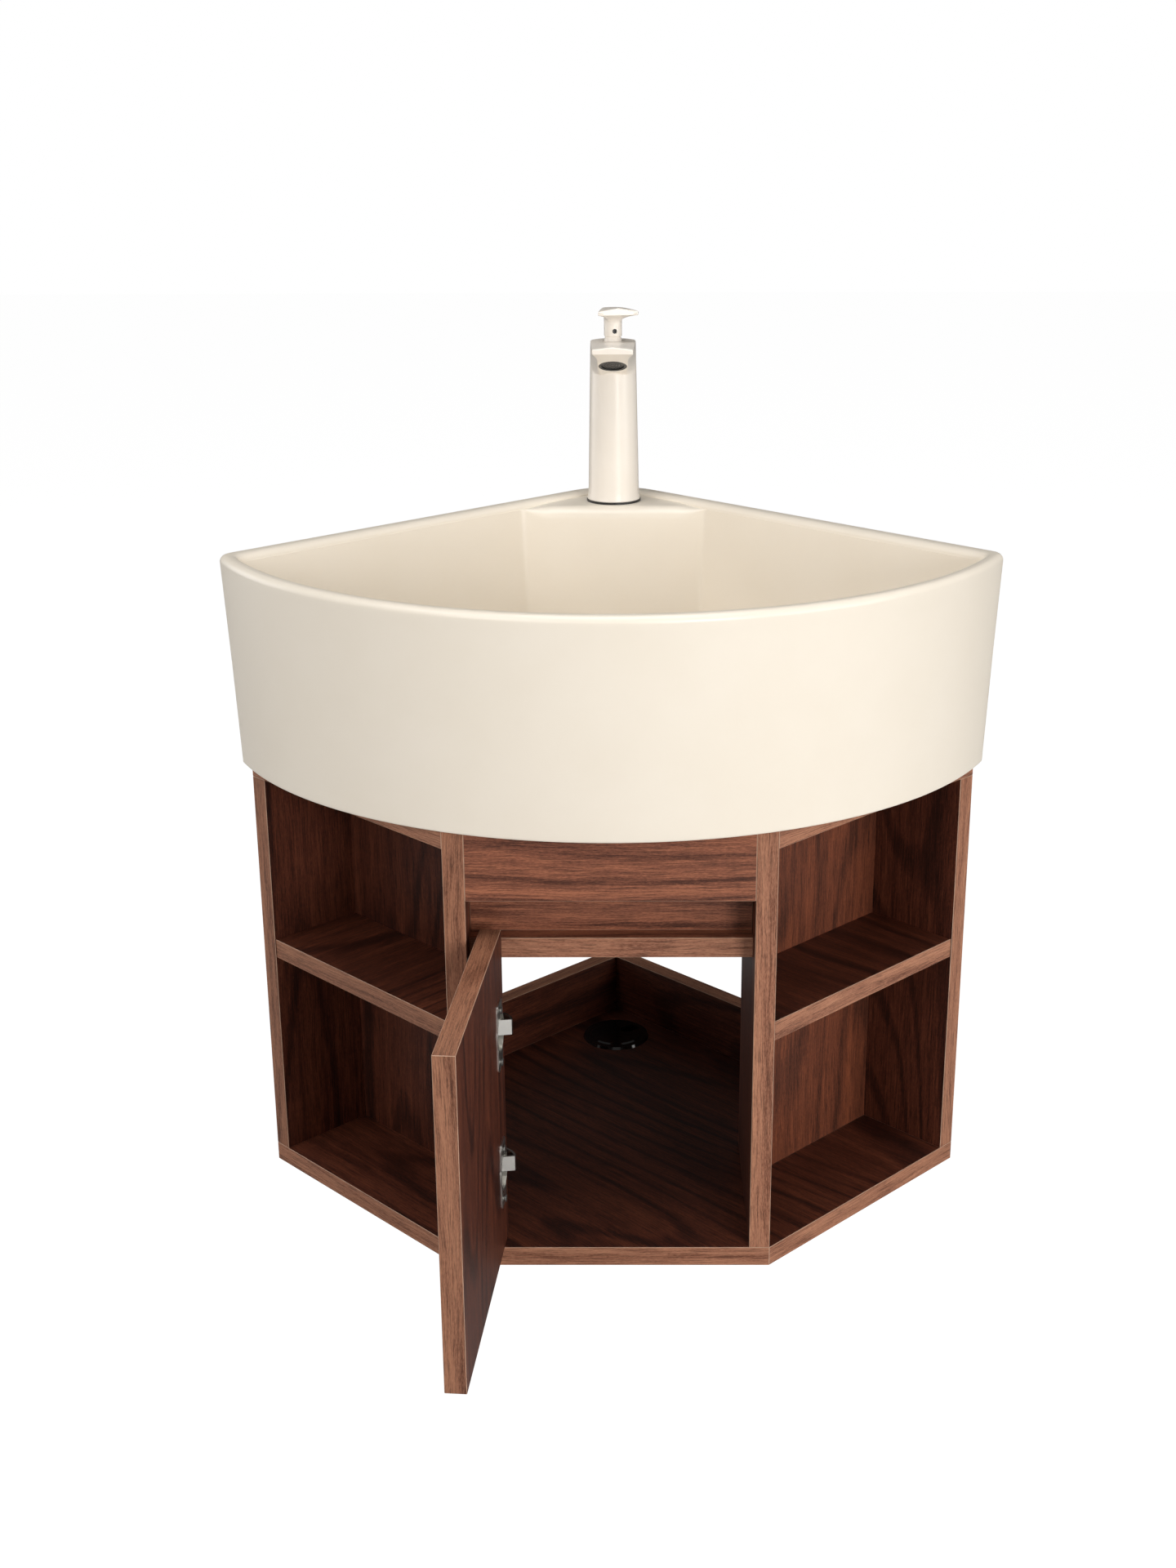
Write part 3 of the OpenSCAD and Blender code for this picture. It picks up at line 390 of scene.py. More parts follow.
# %% Sizes of the cabinet, in millimetres
ROOT2 = math.sqrt(2)
side_len, return_len, body_h, board = 461.0, 266.0, 410.0, 18.0
divider_depth, niche_depth, shelf_z, shelf_setback = 185.0, 93.0, 218.0, 1.0
frieze_h, recess_h, recess_depth, stretcher_setback = 46.0, 44.0, 43.0, 26.5
low_rail_h, hang_rail_h, wall_holes, wall_hole_r = 62.0, 80.0, (90.0, 282.0), 3.5
outlet_reach, outlet_r, waste_cut_r, hose_reach, hose_cut_r = 95.0, 30.0, 78.0, 99.0, 42.0
front_x = (side_len - return_len) / ROOT2
front_y = -(side_len + return_len) / ROOT2
tip_x = side_len / ROOT2
inner_x = front_x - board
inside_top = body_h - board
niche_a = side_len - niche_depth
wall_a = niche_a - board
offset_b = side_len - return_len
recess_back = recess_depth + board
stretcher_top = inside_top - frieze_h - recess_h
UP, ACROSS = (0, 0, 1), (1, 0, 0)
# Cutters overshoot the faces they cut by a few millimetres, and THROUGH is long for a board.
OVER, THROUGH = 5.0, 40.0


# %% Outline helpers
def by_wall(hand, points):
    """Points given along a wall (a) and out from it (b), for the right or the left wall."""
    p = np.asarray(points, float)
    return np.stack([hand * (p[:, 0] - p[:, 1]), -(p[:, 0] + p[:, 1])], 1) / ROOT2


def rectangle(low, high):
    """Corners of a rectangle seen from above."""
    return np.array([[low[0], low[1]], [high[0], low[1]], [high[0], high[1]], [low[0], high[1]]])


def raised(outline, low, high):
    """Points and faces of an outline, seen from above, raised between two heights."""
    outline = np.asarray(outline, float)
    following = np.roll(outline, -1, 0)
    if np.sum(outline[:, 0] * following[:, 1] - outline[:, 1] * following[:, 0]) < 0:
        outline = outline[::-1]
    n = len(outline)
    points = np.concatenate([np.column_stack([outline, np.full(n, z)]) for z in (low, high)])
    sides = [[k, (k + 1) % n, n + (k + 1) % n, n + k] for k in range(n)]
    return points, [list(range(n))[::-1], list(range(n, 2 * n))] + sides


# %% Cutting helpers
def cutter(name, centre, axis, radius, length):
    """A 64-sided cylinder in millimetres, centred on a point, along an axis."""
    axis = np.array(axis, float) / np.linalg.norm(axis)
    side = np.cross(axis, [0, 0, 1.0] if abs(axis[2]) < 0.9 else [1.0, 0, 0])
    side /= np.linalg.norm(side)
    other = np.cross(axis, side)
    t = np.linspace(0, 2 * math.pi, 64, endpoint=False)[:, None]
    ring = radius * (np.cos(t) * side + np.sin(t) * other)
    ends = [np.asarray(centre) + ring + s * length / 2 * axis for s in (-1, 1)]
    return tidy(grid_object(name, np.stack(ends), cap_start=True, cap_end=True))


def apply_all(thing, cutters=()):
    """Applies the piece's modifiers, with a hole cut by each cutter, and removes the cutters."""
    for c in cutters:
        hole = thing.modifiers.new("hole", "BOOLEAN")
        hole.object = c
        hole.solver = "EXACT"
    bpy.context.view_layer.update()
    depsgraph = bpy.context.evaluated_depsgraph_get()
    mesh = bpy.data.meshes.new_from_object(thing.evaluated_get(depsgraph))
    thing.modifiers.clear()
    thing.data = mesh
    for c in cutters:
        bpy.data.objects.remove(c)


# %% Board helpers
# A face of a board is narrow if its second longest extent, or its area over its longest edge,
# is under these sizes in metres.
NARROW_EXTENT, NARROW_WIDTH, EDGING_BEVEL = 0.03, 0.025, 0.00045
# Material slots: the edging's line, the narrow faces, and the inner faces, which take the darker print
# of painted shade.
EDGING_LINE, NARROW_FACE, SHADED_INNER_FACE = 1, 2, 3
# How far the print shifts along and across the grain per seed, and across it per face.
SEED_ALONG, SEED_ACROSS, FACE_ACROSS = 0.37, 0.113, 0.05


def map_grain(mesh, points, grain, seed, inside):
    """Gives each face its grain and its material. u runs along the grain on the broad faces and
    along the longest edge on the narrow ones, in metres, shifted by the seed. Broad faces are
    inner ones everywhere (inside=True) or where they look along a given vector, and inner faces
    take the darker print of painted shade."""
    layer = mesh.uv_layers.new(name="grain")
    grain = np.array(grain, float) / np.linalg.norm(grain)
    uv = np.zeros((len(mesh.loops), 2))
    for face in mesh.polygons:
        ids = np.arange(face.loop_start, face.loop_start + face.loop_total)
        p = points[[mesh.loops[int(k)].vertex_index for k in ids]] / 1000
        normal = np.array(face.normal)
        along = grain - normal * (grain @ normal)
        edges = np.roll(p, -1, 0) - p
        longest = edges[np.argmax(np.linalg.norm(edges, axis=1))]
        narrow = (np.sort(np.ptp(p, axis=0))[-2] < NARROW_EXTENT
                  or face.area / np.linalg.norm(longest) < NARROW_WIDTH)
        if narrow:
            face.material_index = NARROW_FACE
        elif inside is True or (inside is not None and normal @ np.array(inside) > 0.5):
            face.material_index = SHADED_INNER_FACE
        if narrow or np.linalg.norm(along) < 0.5:
            along = longest
        along = along / np.linalg.norm(along)
        uv[ids, 0] = p @ along + seed * SEED_ALONG
        across = p @ np.cross(normal, along)
        uv[ids, 1] = across + seed * SEED_ACROSS + FACE_ACROSS * face.index
    layer.data.foreach_set("uv", uv.astype(np.float32).ravel())


def make_board(node, outline, low, high, grain, inside=None, cutters=()):
    """A board: the outline raised between two heights, printed, edged, cut and put in place.
    The seed, worked out from the node's name, gives each board its own stretch of the print."""
    points, faces = raised(outline, low, high)
    thing = mesh_object(node + "_board", points, faces, smooth=False)
    seed = sum(ord(c) * (k + 1) for k, c in enumerate(node)) % 97
    map_grain(thing.data, points, grain, seed, inside)
    # The left boards and the door take a darker edging: painted shade, for light that falls off towards
    # the left.
    shaded_edge = node == "door" or node.startswith("left")
    # The niche walls take darker prints, painted shade in the niches; the left one, further in shade,
    # takes the darkest.
    face = {"right_niche_wall": walnut_niche_painted_shade, "left_niche_wall": walnut_painted_shade}.get(node, walnut)
    for finish in (face, edge_line, walnut_edge_painted_shade if shaded_edge else walnut_edge, walnut_painted_shade):
        thing.data.materials.append(finish)
    bevel = thing.modifiers.new("edging", "BEVEL")
    bevel.width = EDGING_BEVEL
    bevel.segments = 1
    bevel.material = EDGING_LINE
    bevel.limit_method = "ANGLE"
    apply_all(thing, cutters)
    place(thing, node)


# %% Bottom and top panel
WASTE_Y, TAP_Y = -330.0, -79.0
plan = [[0, 0], [-tip_x, -tip_x], [-front_x, front_y], [front_x, front_y], [tip_x, -tip_x]]
make_board("bottom_panel", plan, 0, board, (1, -1, 0), True, cutters=[
    cutter("outlet_hole", (0, -outlet_reach, board / 2), UP, outlet_r, THROUGH)])
# The frieze and the dividers' fronts run up to the basin, so the top panel is notched there.
notch = front_y + board
notched = plan[:3] + [[-front_x, notch], [front_x, notch]] + plan[3:]
make_board("top_panel", notched, inside_top, body_h, (1, -1, 0), True, cutters=[
    cutter("waste_cut", (0, WASTE_Y, body_h - 10), UP, waste_cut_r, THROUGH),
    cutter("hose_cut", (0, -hose_reach, body_h - 10), UP, hose_cut_r, THROUGH)])


# %% Boards of the left and the right side
def step_cutter(left, right):
    """Cuts the step in a divider's top edge, behind the notch, on which the top panel rests."""
    outline = rectangle((left - OVER, notch), (right + OVER, front_y + (divider_depth + OVER)))
    return mesh_object("top_step", *raised(outline, inside_top, body_h + OVER), smooth=False)


for hand, word in ((-1, "left"), (1, "right")):
    xs = sorted((hand * inner_x, hand * front_x))
    along_wall, out_of_wall = (hand, -1, 0), (hand, 1, 0)
    make_board(word + "_divider", rectangle((xs[0], front_y), (xs[1], front_y + divider_depth)),
               board, body_h, UP, True, cutters=[step_cutter(*xs)])
    make_board(word + "_niche_wall", by_wall(hand, [
        [wall_a, board], [niche_a, board], [niche_a, niche_a - offset_b],
        [wall_a, wall_a - offset_b]]), board, inside_top, UP)
    make_board(word + "_back_panel", by_wall(hand, [
        [wall_a, 0], [side_len, 0], [side_len, board], [wall_a, board]]), board, inside_top, UP, True)
    end = side_len - shelf_setback
    make_board(word + "_niche_shelf", by_wall(hand, [
        [niche_a, board], [end, board], [end, end - offset_b], [niche_a, niche_a - offset_b]]),
        shelf_z, shelf_z + board, along_wall, True)
    # The rails lie along the walls; the left ones butt against the right ones in the corner.
    start = 0 if hand > 0 else board
    strip = by_wall(hand, [[start, 0], [wall_a, 0], [wall_a, board], [start, board]])
    make_board(word + "_low_rail", strip, board, board + low_rail_h, along_wall, True)
    holes = [cutter("screw_hole", (*by_wall(hand, [[a, board / 2]])[0], inside_top - hang_rail_h / 2),
                    out_of_wall, wall_hole_r, THROUGH) for a in wall_holes]
    make_board(word + "_hanging_rail", strip, inside_top - hang_rail_h, inside_top, along_wall,
               True, cutters=holes)

# %% Boards of the front
make_board("frieze_rail", rectangle((-inner_x, front_y), (inner_x, notch)),
           inside_top - frieze_h, body_h, ACROSS)
make_board("recess_board", rectangle((-inner_x, front_y + recess_depth),
                                     (inner_x, front_y + recess_back)),
           stretcher_top, inside_top, ACROSS)
make_board("stretcher", rectangle((-inner_x, front_y + stretcher_setback),
                                  (inner_x, front_y + recess_back)),
           stretcher_top - board, stretcher_top, ACROSS)
print("cabinet boards made")

# %% [markdown]
# ## Door
# The door hangs on two cup hinges at its left and stands open. It is a board like the others:
# its outline is drawn closed, swung about the hinge pin and only then raised, so the print and
# the edging come out as on the rest. The cups' holes are cut into its inner face.

# %% Sizes of the door, in millimetres
door_gap, door_foot_gap, door_lap, open_angle = 2.5, 2.0, 10.0, 94.5
pin_side, pin_depth, hinge_low_z, hinge_drop = 16.5, 8.0, 96.0, 57.0
cup_to_edge, cup_hole_r, cup_hole_depth, cup_over = 22.5, 17.55, 13.5, 7.5
pin_xy = np.array([-inner_x + pin_side, front_y + pin_depth])
hinge_heights = (hinge_low_z, stretcher_top - board - hinge_drop)


# %% Door leaf
def swung(points):
    """Plan points of the closed door, turned about the hinge pin by the opening angle."""
    return (np.asarray(points) - pin_xy) @ turned(math.radians(-open_angle))[:2, :2].T + pin_xy


door_x = -inner_x + door_gap
door_w = 2 * (inner_x - door_gap)
cup_xy = swung([[door_x + cup_to_edge, front_y + board]])[0]
inward = swung([[0, 1.0]])[0] - swung([[0, 0.0]])[0]
cup_middle = cup_xy - inward * ((cup_hole_depth - cup_over) / 2)
cups = [cutter("cup_hole", (*cup_middle, z), (*inward, 0), cup_hole_r, cup_hole_depth + cup_over)
        for z in hinge_heights]
# The door's inner face takes the darker print of painted shade.
make_board("door", swung(rectangle((door_x, front_y), (door_x + door_w, front_y + board))),
           board + door_foot_gap, stretcher_top + door_lap, UP, (*inward, 0), cutters=cups)

# %% [markdown]
# ## Basin
# The basin is slip-cast ceramic with a matt cream glaze: two straight sides against the
# walls, a curved front that leans out, and a tap deck a few millimetres below the rim. Seen
# from the waste, every outline of it is crossed once by each ray, so the whole skin is one
# grid: an angle round the waste, and a path up the outside, over the rim and down the bowl.

# %% Sizes of the basin, in millimetres
basin_h, bowl_depth = 190.0, 130.0
foot_z = body_h
rim_z = foot_z + basin_h
bowl_floor = rim_z - bowl_depth
rim_reach, rim_r, foot_reach, foot_r = 567.0, 369.3, 549.0, 367.3
tip_r, corner_r, bowl_tip_r, facet_r = 15.0, 60.0, 9.0, 7.0
least_tip_r, least_corner_r = 4, 6
front_rim, wall_rim, deck_reach, deck_drop = 12.0, 20.0, 117.0, 4.0
foot_round, lip_r, deck_round, taper, fillet = 1.5, 6.0, 11.0, 11.0, 25.0
inner_r = rim_r - front_rim
inner_reach = rim_reach - front_rim


# %% Basin outlines
def arc(centre, radius, start, stop, count):
    """Points of a circular arc, angles in degrees."""
    t = np.radians(np.linspace(start, stop, count))
    return np.asarray(centre) + radius * np.stack([np.cos(t), np.sin(t)], 1)


def sector(radius, reach, gap, tip, corner, back=None):
    """Outline between two walls at right angles and a curved front, corners rounded. The front
    is a circle of the given radius that reaches so far from the room's corner; gap is the
    distance kept from the walls. With back, a straight edge cuts the corner off."""
    centre_y = radius - reach
    # The tip's circle touches the wall's line and, from inside, the front's circle.
    k = -(gap + tip) * ROOT2 - centre_y
    x = (k + math.sqrt(2 * (radius - tip) ** 2 - k * k)) / 2
    c = np.array([x, -x - (gap + tip) * ROOT2])
    turn = math.degrees(math.atan2(c[1] - centre_y, c[0]))
    if back is None:
        first = arc((0, -(gap + corner) * ROOT2), corner, 90, 45, 80)
    else:
        # The straight edge meets the wall at 135 degrees; the rounding touches both.
        facet_x = back + facet_r - (gap + facet_r) * ROOT2
        first = arc((facet_x, -back - facet_r), facet_r, 90, 45, 24)
    front = arc((0, centre_y), radius, turn, -90, 500)
    half = np.concatenate([first, arc(c, tip, 45, turn, 60), front])
    return np.concatenate([half, (half * [-1, 1])[::-1]])


def ray_lengths(outline, angles):
    """Distance from the waste to the outline along each angle: where the ray meets the
    straight piece between two neighbouring points, r = (p x d) / (ray x d)."""
    p = outline - np.array([0, WASTE_Y])
    a = np.arctan2(p[:, 1], p[:, 0])
    order = np.argsort(a)
    p, a = p[order], a[order]
    k = np.searchsorted(a, angles, side="right") - 1
    start, end = p[k % len(p)], p[(k + 1) % len(p)]
    d = end - start
    ray = np.stack([np.cos(angles), np.sin(angles)], 1)
    across = ray[:, 0] * d[:, 1] - ray[:, 1] * d[:, 0]
    across = np.where(np.abs(across) < 1e-9, 1e-9, across)
    return (start[:, 0] * d[:, 1] - start[:, 1] * d[:, 0]) / across


# %% Angles of the basin's grid
def dense_angles(outline, spacing):
    """Angles of points spread evenly along an outline."""
    step = np.linalg.norm(np.roll(outline, -1, 0) - outline, axis=1)
    s = np.concatenate([[0], np.cumsum(step)])
    even = np.linspace(0, s[-1], int(s[-1] / spacing), endpoint=False)
    closed = np.concatenate([outline, outline[:1]])
    p = np.stack([np.interp(even, s, closed[:, i]) for i in (0, 1)], 1) - [0, WASTE_Y]
    return np.arctan2(p[:, 1], p[:, 0])


rim_outline = sector(rim_r, rim_reach, 0, tip_r, corner_r)
deck_outline = sector(inner_r, inner_reach, wall_rim, bowl_tip_r, 0, deck_reach)
# Extra angles lie round the two folds, where the deck's front edge meets the bowl's sides.
fold_x, fold_y = deck_reach - wall_rim * ROOT2, -deck_reach - WASTE_Y
rim_spacing, deck_spacing, fold_span, least_step = 4.0, 9.0, 0.05, 0.0022
folds = [math.atan2(fold_y, s * fold_x) + np.linspace(-fold_span, fold_span, 24) for s in (-1, 1)]
angles = np.sort(np.concatenate([dense_angles(rim_outline, rim_spacing),
                                 dense_angles(deck_outline, deck_spacing)] + folds))
angles = angles[np.concatenate([[True], np.diff(angles) > least_step])]


# %% Rays of the basin
def bowl_ray(inset, back=True):
    """Ray lengths of the bowl's outline, drawn in by the inset, with or without the deck."""
    tip = max(bowl_tip_r - inset * 0.2, least_tip_r)
    corner = max(corner_r - wall_rim - inset, least_corner_r)
    return ray_lengths(sector(inner_r - inset, inner_reach - inset, wall_rim + inset, tip, corner,
                              deck_reach + inset if back else None), angles)


def outside_ray(inset):
    """Ray lengths of the rim's outer outline, drawn in by the inset."""
    return ray_lengths(sector(rim_r - inset, rim_reach - inset, inset, tip_r - inset,
                              corner_r - inset), angles)


def smooth_step(x):
    """0 below 0, 1 above 1 and x x (3 - 2 x) times x between, level at both ends."""
    x = np.clip(x, 0, 1)
    return x * x * (3 - 2 * x)


def quarter(start, count):
    """Turns of a quarter arc in radians, from a start in degrees to the full 90."""
    return np.radians(np.linspace(start, 90, count))


# %% Basin, the outside and the rim
# Each ring is a radius along every ray and a height. Rings lie close together at the ends of a
# wall, which keeps the shading of its roundings off it.
foot_ray = ray_lengths(sector(foot_r, foot_reach, 0, tip_r, corner_r), angles)
rim_ray = outside_ray(0)
rings = [(foot_ray - foot_round * (1 - math.sin(t * math.pi / 2)),
          foot_z + foot_round * (1 - math.cos(t * math.pi / 2))) for t in np.linspace(0, 1, 4)]
wall_h = rim_z - lip_r - foot_z - foot_round
for t in np.concatenate([[0.01], np.linspace(0.04, 0.97, 10), [0.99, 1.0]]):
    rings.append((foot_ray + (rim_ray - foot_ray) * t, foot_z + foot_round + wall_h * t))
for t in quarter(10, 9):
    rings.append((outside_ray(lip_r * (1 - math.cos(t))), rim_z - lip_r * (1 - math.sin(t))))

# %% Basin, the bullnose and the deck
# The rim is a soft bullnose: its rounded inner side takes a good half of the rim's width.
bullnose, lip_share, turn_share = 0.6, 0.4, 0.6
deck_fade, shallow, deep, hair = 30.0, 3.0, 6.0, 0.05
rim_in = bowl_ray(0, back=False)
rim_width = outside_ray(lip_r) - rim_in
top_in = rim_in + bullnose * rim_width
# The deck's length along each ray fades to nothing at the folds. The bullnose ends on the deck
# a few millimetres down, and further down where there is no deck.
deck_front = bowl_ray(0)
deck_long = np.clip(rim_in - deck_front, 0, None)
share = smooth_step(deck_long / deck_fade)
lip_depth = deck_drop * share + np.clip(lip_share * rim_width, shallow, deep) * (1 - share)
for t in quarter(0, 9)[::-1]:
    rings.append((rim_in + (top_in - rim_in) * (1 - math.cos(t)),
                  rim_z - lip_depth * (1 - math.sin(t))))
deck_level = rim_z - lip_depth
turn_over = np.clip(turn_share * deck_long, hair, deck_round)
deck_end = np.minimum(deck_front + turn_over, rim_in)
# The deck sinks by a hair towards the bowl.
for t in np.linspace(0, 1, 12)[1:]:
    rings.append((rim_in + (deck_end - rim_in) * t, deck_level - hair * t))

# %% Basin, the bowl
bowl_low = bowl_floor + fillet
leaning = (bowl_ray(taper) - deck_front) / (rim_z - bowl_low)
wall_start = deck_level - 0.06
for t in quarter(8, 11):
    z = wall_start - turn_over * (1 - math.cos(t))
    rounding = np.minimum(turn_over, deck_long) * (1 - math.sin(t))
    rings.append((deck_front + rounding + leaning * (rim_z - z), z))
wall_top = wall_start - turn_over
for t in np.concatenate([[0.02], np.linspace(0.08, 0.92, 10), [0.98, 1.0]]):
    z = wall_top + (bowl_low - wall_top) * t
    rings.append((deck_front + leaning * (rim_z - z), z))
for t in quarter(8, 12):
    rings.append((bowl_ray(taper + fillet * (1 - math.cos(t))),
                  bowl_floor + fillet * (1 - math.sin(t))))
# The floor falls towards the waste, ever more steeply, and ends in a seat for its flange.
floor_fall, seat_r, seat_depth, hole_r = 6.0, 32.5, 8.0, 23.0
floor_ray = bowl_ray(taper + fillet)
for t in np.linspace(0, 1, 22)[1:]:
    rings.append((floor_ray + (seat_r - floor_ray) * t, bowl_floor - floor_fall * t ** 1.6))
rings += [(seat_r - 0.8, bowl_floor - seat_depth), (hole_r, bowl_floor - seat_depth)]

# %% Basin, the underside
# The waste's hole, the boss for its nut, the bowl's outer skin and the hollow foot.
boss_r, boss_low, boss_top, skin_z, foot_t, skin_t = 36.0, 430.0, 456.0, 460.0, 10.0, 9.5
pocket_low, pocket_high, hollow_top, pocket_from, pocket_fade = 495.0, 580.0, 582.0, 20, 30
under = taper + fillet - 8
rings += [(hole_r, boss_low), (boss_r, boss_low), (boss_r, boss_top)]
rings.append((ray_lengths(sector(inner_r - under, inner_reach - under, wall_rim + under, 8, 6,
                                 deck_reach + under), angles), skin_z))
# Only under the deck is there room between the bowl and the foot's wall: a pocket for the nut.
hollow = ray_lengths(sector(foot_r - foot_t, foot_reach - foot_t, foot_t, tip_r - 7,
                            corner_r - foot_t), angles)
pocket, pocket_z = smooth_step((deck_long - pocket_from) / pocket_fade), skin_z + 1
for inner, z in ((bowl_ray(taper - skin_t), pocket_low), (bowl_ray(-skin_t), pocket_high),
                 (hollow, hollow_top)):
    rings.append((hollow + (inner - hollow) * pocket, pocket_z + (z - pocket_z) * pocket))
rings.append((hollow, foot_z + 1))

# %% Basin mesh
tap_hole_r, merge_distance, basin_crease = 17.5, 0.00008, math.radians(38)
radii, heights = ring_arrays(rings, angles)
grid = np.stack([radii * np.cos(angles), radii * np.sin(angles) + WASTE_Y, heights], -1)
basin_skin = tidy(grid_object("basin_skin", grid, closed_rows=True), merge_distance)
apply_all(basin_skin, [cutter("tap_hole", (0, TAP_Y, rim_z - 10), UP, tap_hole_r, 60)])
basin_skin.data.set_sharp_from_angle(angle=basin_crease)
print("basin", len(basin_skin.data.polygons), "faces")

# %% [markdown]
# The glaze is matt and warm. A faint noise some 60 mm wide moves its colour and its sheen, as
# a sprayed glaze does, and a very fine one makes the bump that keeps the highlights soft.

# %% Ceramic material
glaze = mottled_material("matt_cream_glaze", "#EFE5D5", "#F4EBDD", (0.27, 0.34), 16.0, 3.0,
                         bump=(0.05, 0.0003), fine=900.0)
place(basin_skin, "basin", glaze)

# %% [markdown]
# ## Tap
# The tap is lacquered brass in the basin's colour. Its body is a turned column that opens
# out at the foot; the spout leaves it near the top as a wedge with a low ridge and a sloping
# underside. Cut level by level, body and spout together are one rounded outline, so they are
# one grid of heights and angles too.

# %% Sizes of the tap, in millimetres
body_low, neck_z, spout_low, nose_low, body_top = 598.0, 705.0, 707.0, 745.1, 750.5
neck_r, top_r, neck_fall, neck_h = 22.8, 21.9, 0.9, 45.0
spout_reach, nose_half, nose_soft, spout_slope = 67.0, 19.5, 1.2, math.radians(27)
ridge_start, ridge_rise, ridge_fall = 14, 1.2, 2.3
# Height and radius of the turned column, from its flared foot to its neck.
column = [(body_low, 25.5), (598.6, 25.9), (600, 25.7), (603, 25.1), (607, 24.8), (612, 24.6),
          (640, 24.1), (680, 23.3), (neck_z, neck_r)]
# The underside is as wide as the aerator's boss and flares out only at the nose.
boss_reach, boss_half = [20, 38, 53, 58, spout_reach], [13.6, 14.6, 14.9, 15.6, nose_half]
turns = np.unique(np.concatenate([np.linspace(-math.pi, math.pi, 144, endpoint=False),
                                  np.linspace(-0.6, 0.6, 90)]))


# %% Tap outlines
def circle(count):
    """Points of a unit circle."""
    a = np.linspace(0, 2 * math.pi, count + 1)[:-1]
    return np.stack([np.cos(a), np.sin(a)], 1)


def hull_ray(circle_r, nose_reach, nose_w, soft):
    """Distance from the axis, along each turn, to the outline round a circle and a straight
    nose edge in front. The outline is the circle, the nose's line and the tangents between
    them; soft rounds the nose's corners. Turns are measured from the nose."""
    w = max(nose_w - soft, 0.1)
    nose = [soft * circle(180) + [nose_reach - soft, side] for side in (w, -w)]
    cloud = np.concatenate([circle_r * circle(180)] + nose)
    # The support function h(n) of the hull, then the radius along each ray is min h(n)/cos.
    n = np.linspace(-math.pi, math.pi, 1441)[:-1]
    support = (cloud @ np.stack([np.cos(n), np.sin(n)], 1).T).max(0)
    c = np.cos(turns[:, None] - n[None, :])
    return np.where(c > 0.02, support[None, :] / np.maximum(c, 0.02), 1e9).min(1)


def ridge(r, start, length, rise, fall):
    """Height, at a radius along each turn, of two planes over a level: their ridge rises from
    the start towards the nose, and to the sides they fall away from it, more so further out."""
    out = np.clip((r * np.cos(turns) - start) / length, 0, 1)
    return rise * out - fall * out * np.clip(np.abs(r * np.sin(turns)) / nose_half, 0, 1)


def top_height(r):
    """Height of the body's top: level over the column, two planes over the spout."""
    return body_top + ridge(r, ridge_start, spout_reach - ridge_start, ridge_rise, ridge_fall)


# %% Tap body
tap_rings = [(r, z) for z, r in column]
for z in np.linspace(spout_low, nose_low, 46):
    reach = spout_reach - (nose_low - z) / math.tan(spout_slope)
    r = neck_r - neck_fall * (z - neck_z) / neck_h
    half = float(np.interp(reach, boss_reach, boss_half))
    spout_out = reach > r * 0.7
    tap_rings.append((hull_ray(r, max(reach, r * 0.75), half, nose_soft) if spout_out else r, z))
edge = hull_ray(top_r, spout_reach, nose_half, nose_soft)
# The edge of the top is rounded over three rings.
for share, drop in ((1.0, 0.9), (0.992, 0.25), (0.975, 0.0)):
    tap_rings.append((edge * share, top_height(edge * share) - drop))
# The flush cap sits in a shallow seat, over a hole for the lever's stem.
cap_seat_r, cap_seat_low, stem_hole_r, stem_hole_low = 19.6, body_top - 3.2, 9.5, body_top - 6
for t in (0.2, 0.4, 0.6, 0.8, 1.0):
    r = edge * 0.975 * (1 - t) + 19.75 * t
    tap_rings.append((r, top_height(r)))
tap_rings += [(cap_seat_r, body_top - 0.15), (cap_seat_r, cap_seat_low),
              (stem_hole_r, cap_seat_low), (stem_hole_r, stem_hole_low)]

# %% Tap mesh
lengths, levels = ring_arrays(tap_rings, turns)
tap_grid = np.stack([lengths * np.sin(turns), -lengths * np.cos(turns) + TAP_Y, levels], -1)
tap_skin = tidy(grid_object("tap_skin", tap_grid, cap_start=True, cap_end=True))
# The aerator sits square to the underside, some way behind the nose.
aerator_back, bore_r, bore_depth, bore_over, tap_crease = 28.5, 13.55, 11, 1, math.radians(35)
bore_axis = np.array([0, math.sin(spout_slope), math.cos(spout_slope)])
aerator_face = np.array([0, TAP_Y - spout_reach + aerator_back,
                         nose_low - aerator_back * math.tan(spout_slope)])
bore_middle = aerator_face + (bore_depth - bore_over) / 2 * bore_axis
apply_all(tap_skin, [cutter("aerator_bore", bore_middle, bore_axis, bore_r,
                            bore_depth + bore_over)])
tap_skin.data.set_sharp_from_angle(angle=tap_crease)
print("tap body", len(tap_skin.data.polygons), "faces")

# %% Lacquer material
# Satin lacquer over brass: a soft clear sheen over a faintly grained cream.
lacquer = mottled_material("satin_cream_lacquer", "#F5EDE2", "#F9F2E9", (0.26, 0.33), 35.0, 3.0,
                           bump=(0.04, 0.0002), fine=1400.0)
place(tap_skin, "tap_body", lacquer)

# %% [markdown]
# ## Lever
# A stem rises from a ball in the cap and flares into a thin plate, which has a low ridge like
# the spout's. The lever stands 12 degrees to the right. It is a grid of the same kind as the
# body's, turned about the tap's axis at the end.

# %% Sizes of the lever, in millimetres
stem_r, flare_low, plate_low, plate_t = 8.6, 16.0, 27.5, 4.6
hub_r, lever_reach, plate_soft, lever_turn = 10.3, 27.0, 1.5, math.radians(12)
plate_start, plate_run, plate_rise, plate_fall = -8, 35, 2.2, 3.2
screw_r, screw_length, screw_z = 2.3, 8, 11
pivot_z = body_top - 1.5
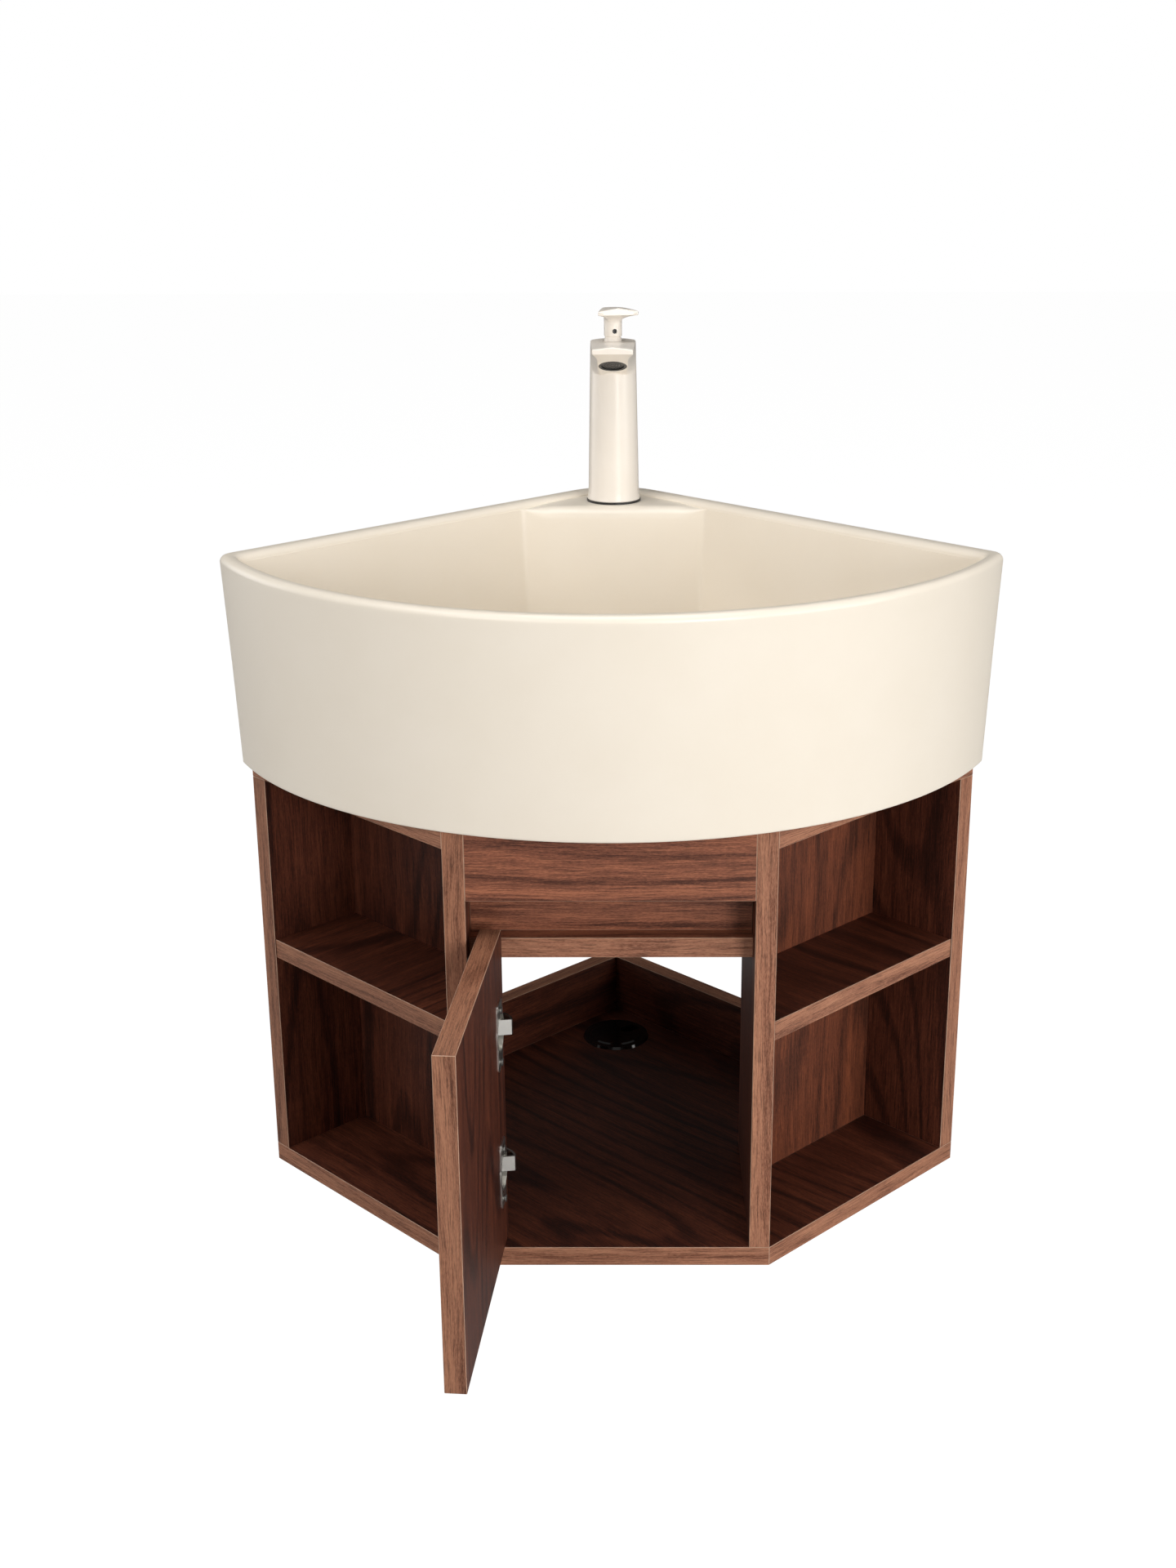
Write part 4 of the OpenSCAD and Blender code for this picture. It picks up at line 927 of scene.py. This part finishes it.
# Radius and height over the pivot: the ball, the groove over it and the stem.
stem_rings = [(6.7, -6.0), (8.1, -4.0), (8.8, -2.0), (9.0, 0.0), (8.8, 2.0), (8.1, 3.9), (7.5, 5.0),
              (7.5, 5.3), (8.4, 5.9), (stem_r, 6.5), (stem_r, 14.0)]


# %% Lever
def plate_top(r):
    """Height of the lever's top over the pivot: two planes that fall from a rising ridge."""
    return plate_low + plate_t + ridge(r, plate_start, plate_run, plate_rise, plate_fall)


plate = hull_ray(hub_r, lever_reach, nose_half, plate_soft)
lever_rings = list(stem_rings)
for t in np.linspace(0.05, 1, 16):
    lever_rings.append((stem_r + (plate - 0.4 - stem_r) * t ** 3.2,
                        flare_low + (plate_low - flare_low) * t))
lever_rings.append((plate, plate_low + 0.5))
for share, drop in ((1.0, 0.8), (0.985, 0.25), (0.96, 0.0), (0.75, 0.0), (0.5, 0.0), (0.25, 0.0),
                    (0.05, 0.0)):
    lever_rings.append((plate * share, plate_top(plate * share) - drop))
r, z = ring_arrays(lever_rings, turns)
side, ahead = r * np.sin(turns), -r * np.cos(turns)
c, s = math.cos(lever_turn), math.sin(lever_turn)
lever_grid = np.stack([c * side - s * ahead, s * side + c * ahead + TAP_Y, z + pivot_z], -1)
lever_skin = tidy(grid_object("lever_skin", lever_grid, cap_start=True, cap_end=True))
# The grub screw's way goes into the front of the stem.
screw_axis = np.array([s, -c, 0])
screw_way = stem_r * screw_axis + [0, TAP_Y, pivot_z + screw_z]
apply_all(lever_skin, [cutter("screw_way", screw_way, screw_axis, screw_r, screw_length)])
lever_skin.data.set_sharp_from_angle(angle=tap_crease)
place(lever_skin, "tap_handle", lacquer)

# %% [markdown]
# ## Metal, rubber and plastic
# Nickel-plated steel on the hinges, chrome on the waste, black rubber rings and a dark
# glossy floor outlet. Each has its own roughness pattern, so that highlights break up.

# %% Small materials
nickel = mottled_material("nickel_plated_steel", "#DAD8D3", "#EFEDE8", (0.24, 0.34), 60.0,
                          metallic=1.0)
zinc = mottled_material("zinc_plated_screw", "#9A9A9A", "#C2C2C0", (0.28, 0.4), 300.0, metallic=1.0)
chrome = mottled_material("chromed_brass", "#CFD2D4", "#E2E4E6", (0.05, 0.1), 40.0, metallic=1.0)
rubber = mottled_material("black_rubber", "#141414", "#232323", (0.3, 0.42), 200.0)
gloss_dark = mottled_material("dark_gloss_abs", "#0F0D0D", "#181414", (0.07, 0.12), 80.0)
grey_acetal = mottled_material("grey_acetal", "#7C7E80", "#9A9C9E", (0.4, 0.5), 150.0)
finishes = {"plated_steel": zinc, "nickel_plate": nickel, "chrome_waste": chrome,
            "black_rubber": rubber, "dark_gloss_plastic": gloss_dark, "grey_plastic": grey_acetal,
            "cream_lacquer": lacquer}
for part in frame["record"]["subparts"]:
    if part["material_slot"] in finishes and not nodes[part["node"]].hide_render:
        finish_node(part["node"], finishes[part["material_slot"]])
# Two small parts are darker than their neighbours of the same make.
finish_node("aerator_insert", rubber)
finish_node("handle_screw", gloss_dark)

# %% [markdown]
# ## Floor
# A plain pale floor under the unit. The camera sees it almost white, and it keeps the
# object's soft shadow: four fifths of what the camera sees is a glow a little over white, and
# the rest is the lit surface with the shadow on it.

# %% Floor
floor_half, floor_z, glow_share, glow_strength = 9000.0, -0.6, 0.8, 1.22
outline = rectangle((-floor_half, -floor_half), (floor_half, floor_half))
floor = mesh_object("studio_floor", np.column_stack([outline, np.full(4, floor_z)]),
                    [[0, 1, 2, 3]], smooth=False)
material, tree, shader = new_material("pale_floor")
feed(tree, shader, {"Base Color": linear("#C8C8C8"), "Roughness": 0.9})
path = add_node(tree, "ShaderNodeLightPath")
share = add_node(tree, "ShaderNodeMath", {0: path.outputs["Is Camera Ray"], 1: glow_share},
                 operation="MULTIPLY")
glow = add_node(tree, "ShaderNodeEmission", {"Color": (1, 1, 1, 1), "Strength": glow_strength})
both = add_node(tree, "ShaderNodeMixShader", {0: share.outputs[0], 1: shader.outputs[0],
                                              2: glow.outputs[0]})
output = [n for n in tree.nodes if n.type == "OUTPUT_MATERIAL"][0]
feed(tree, output, {"Surface": both.outputs[0]})
floor.data.materials.append(material)
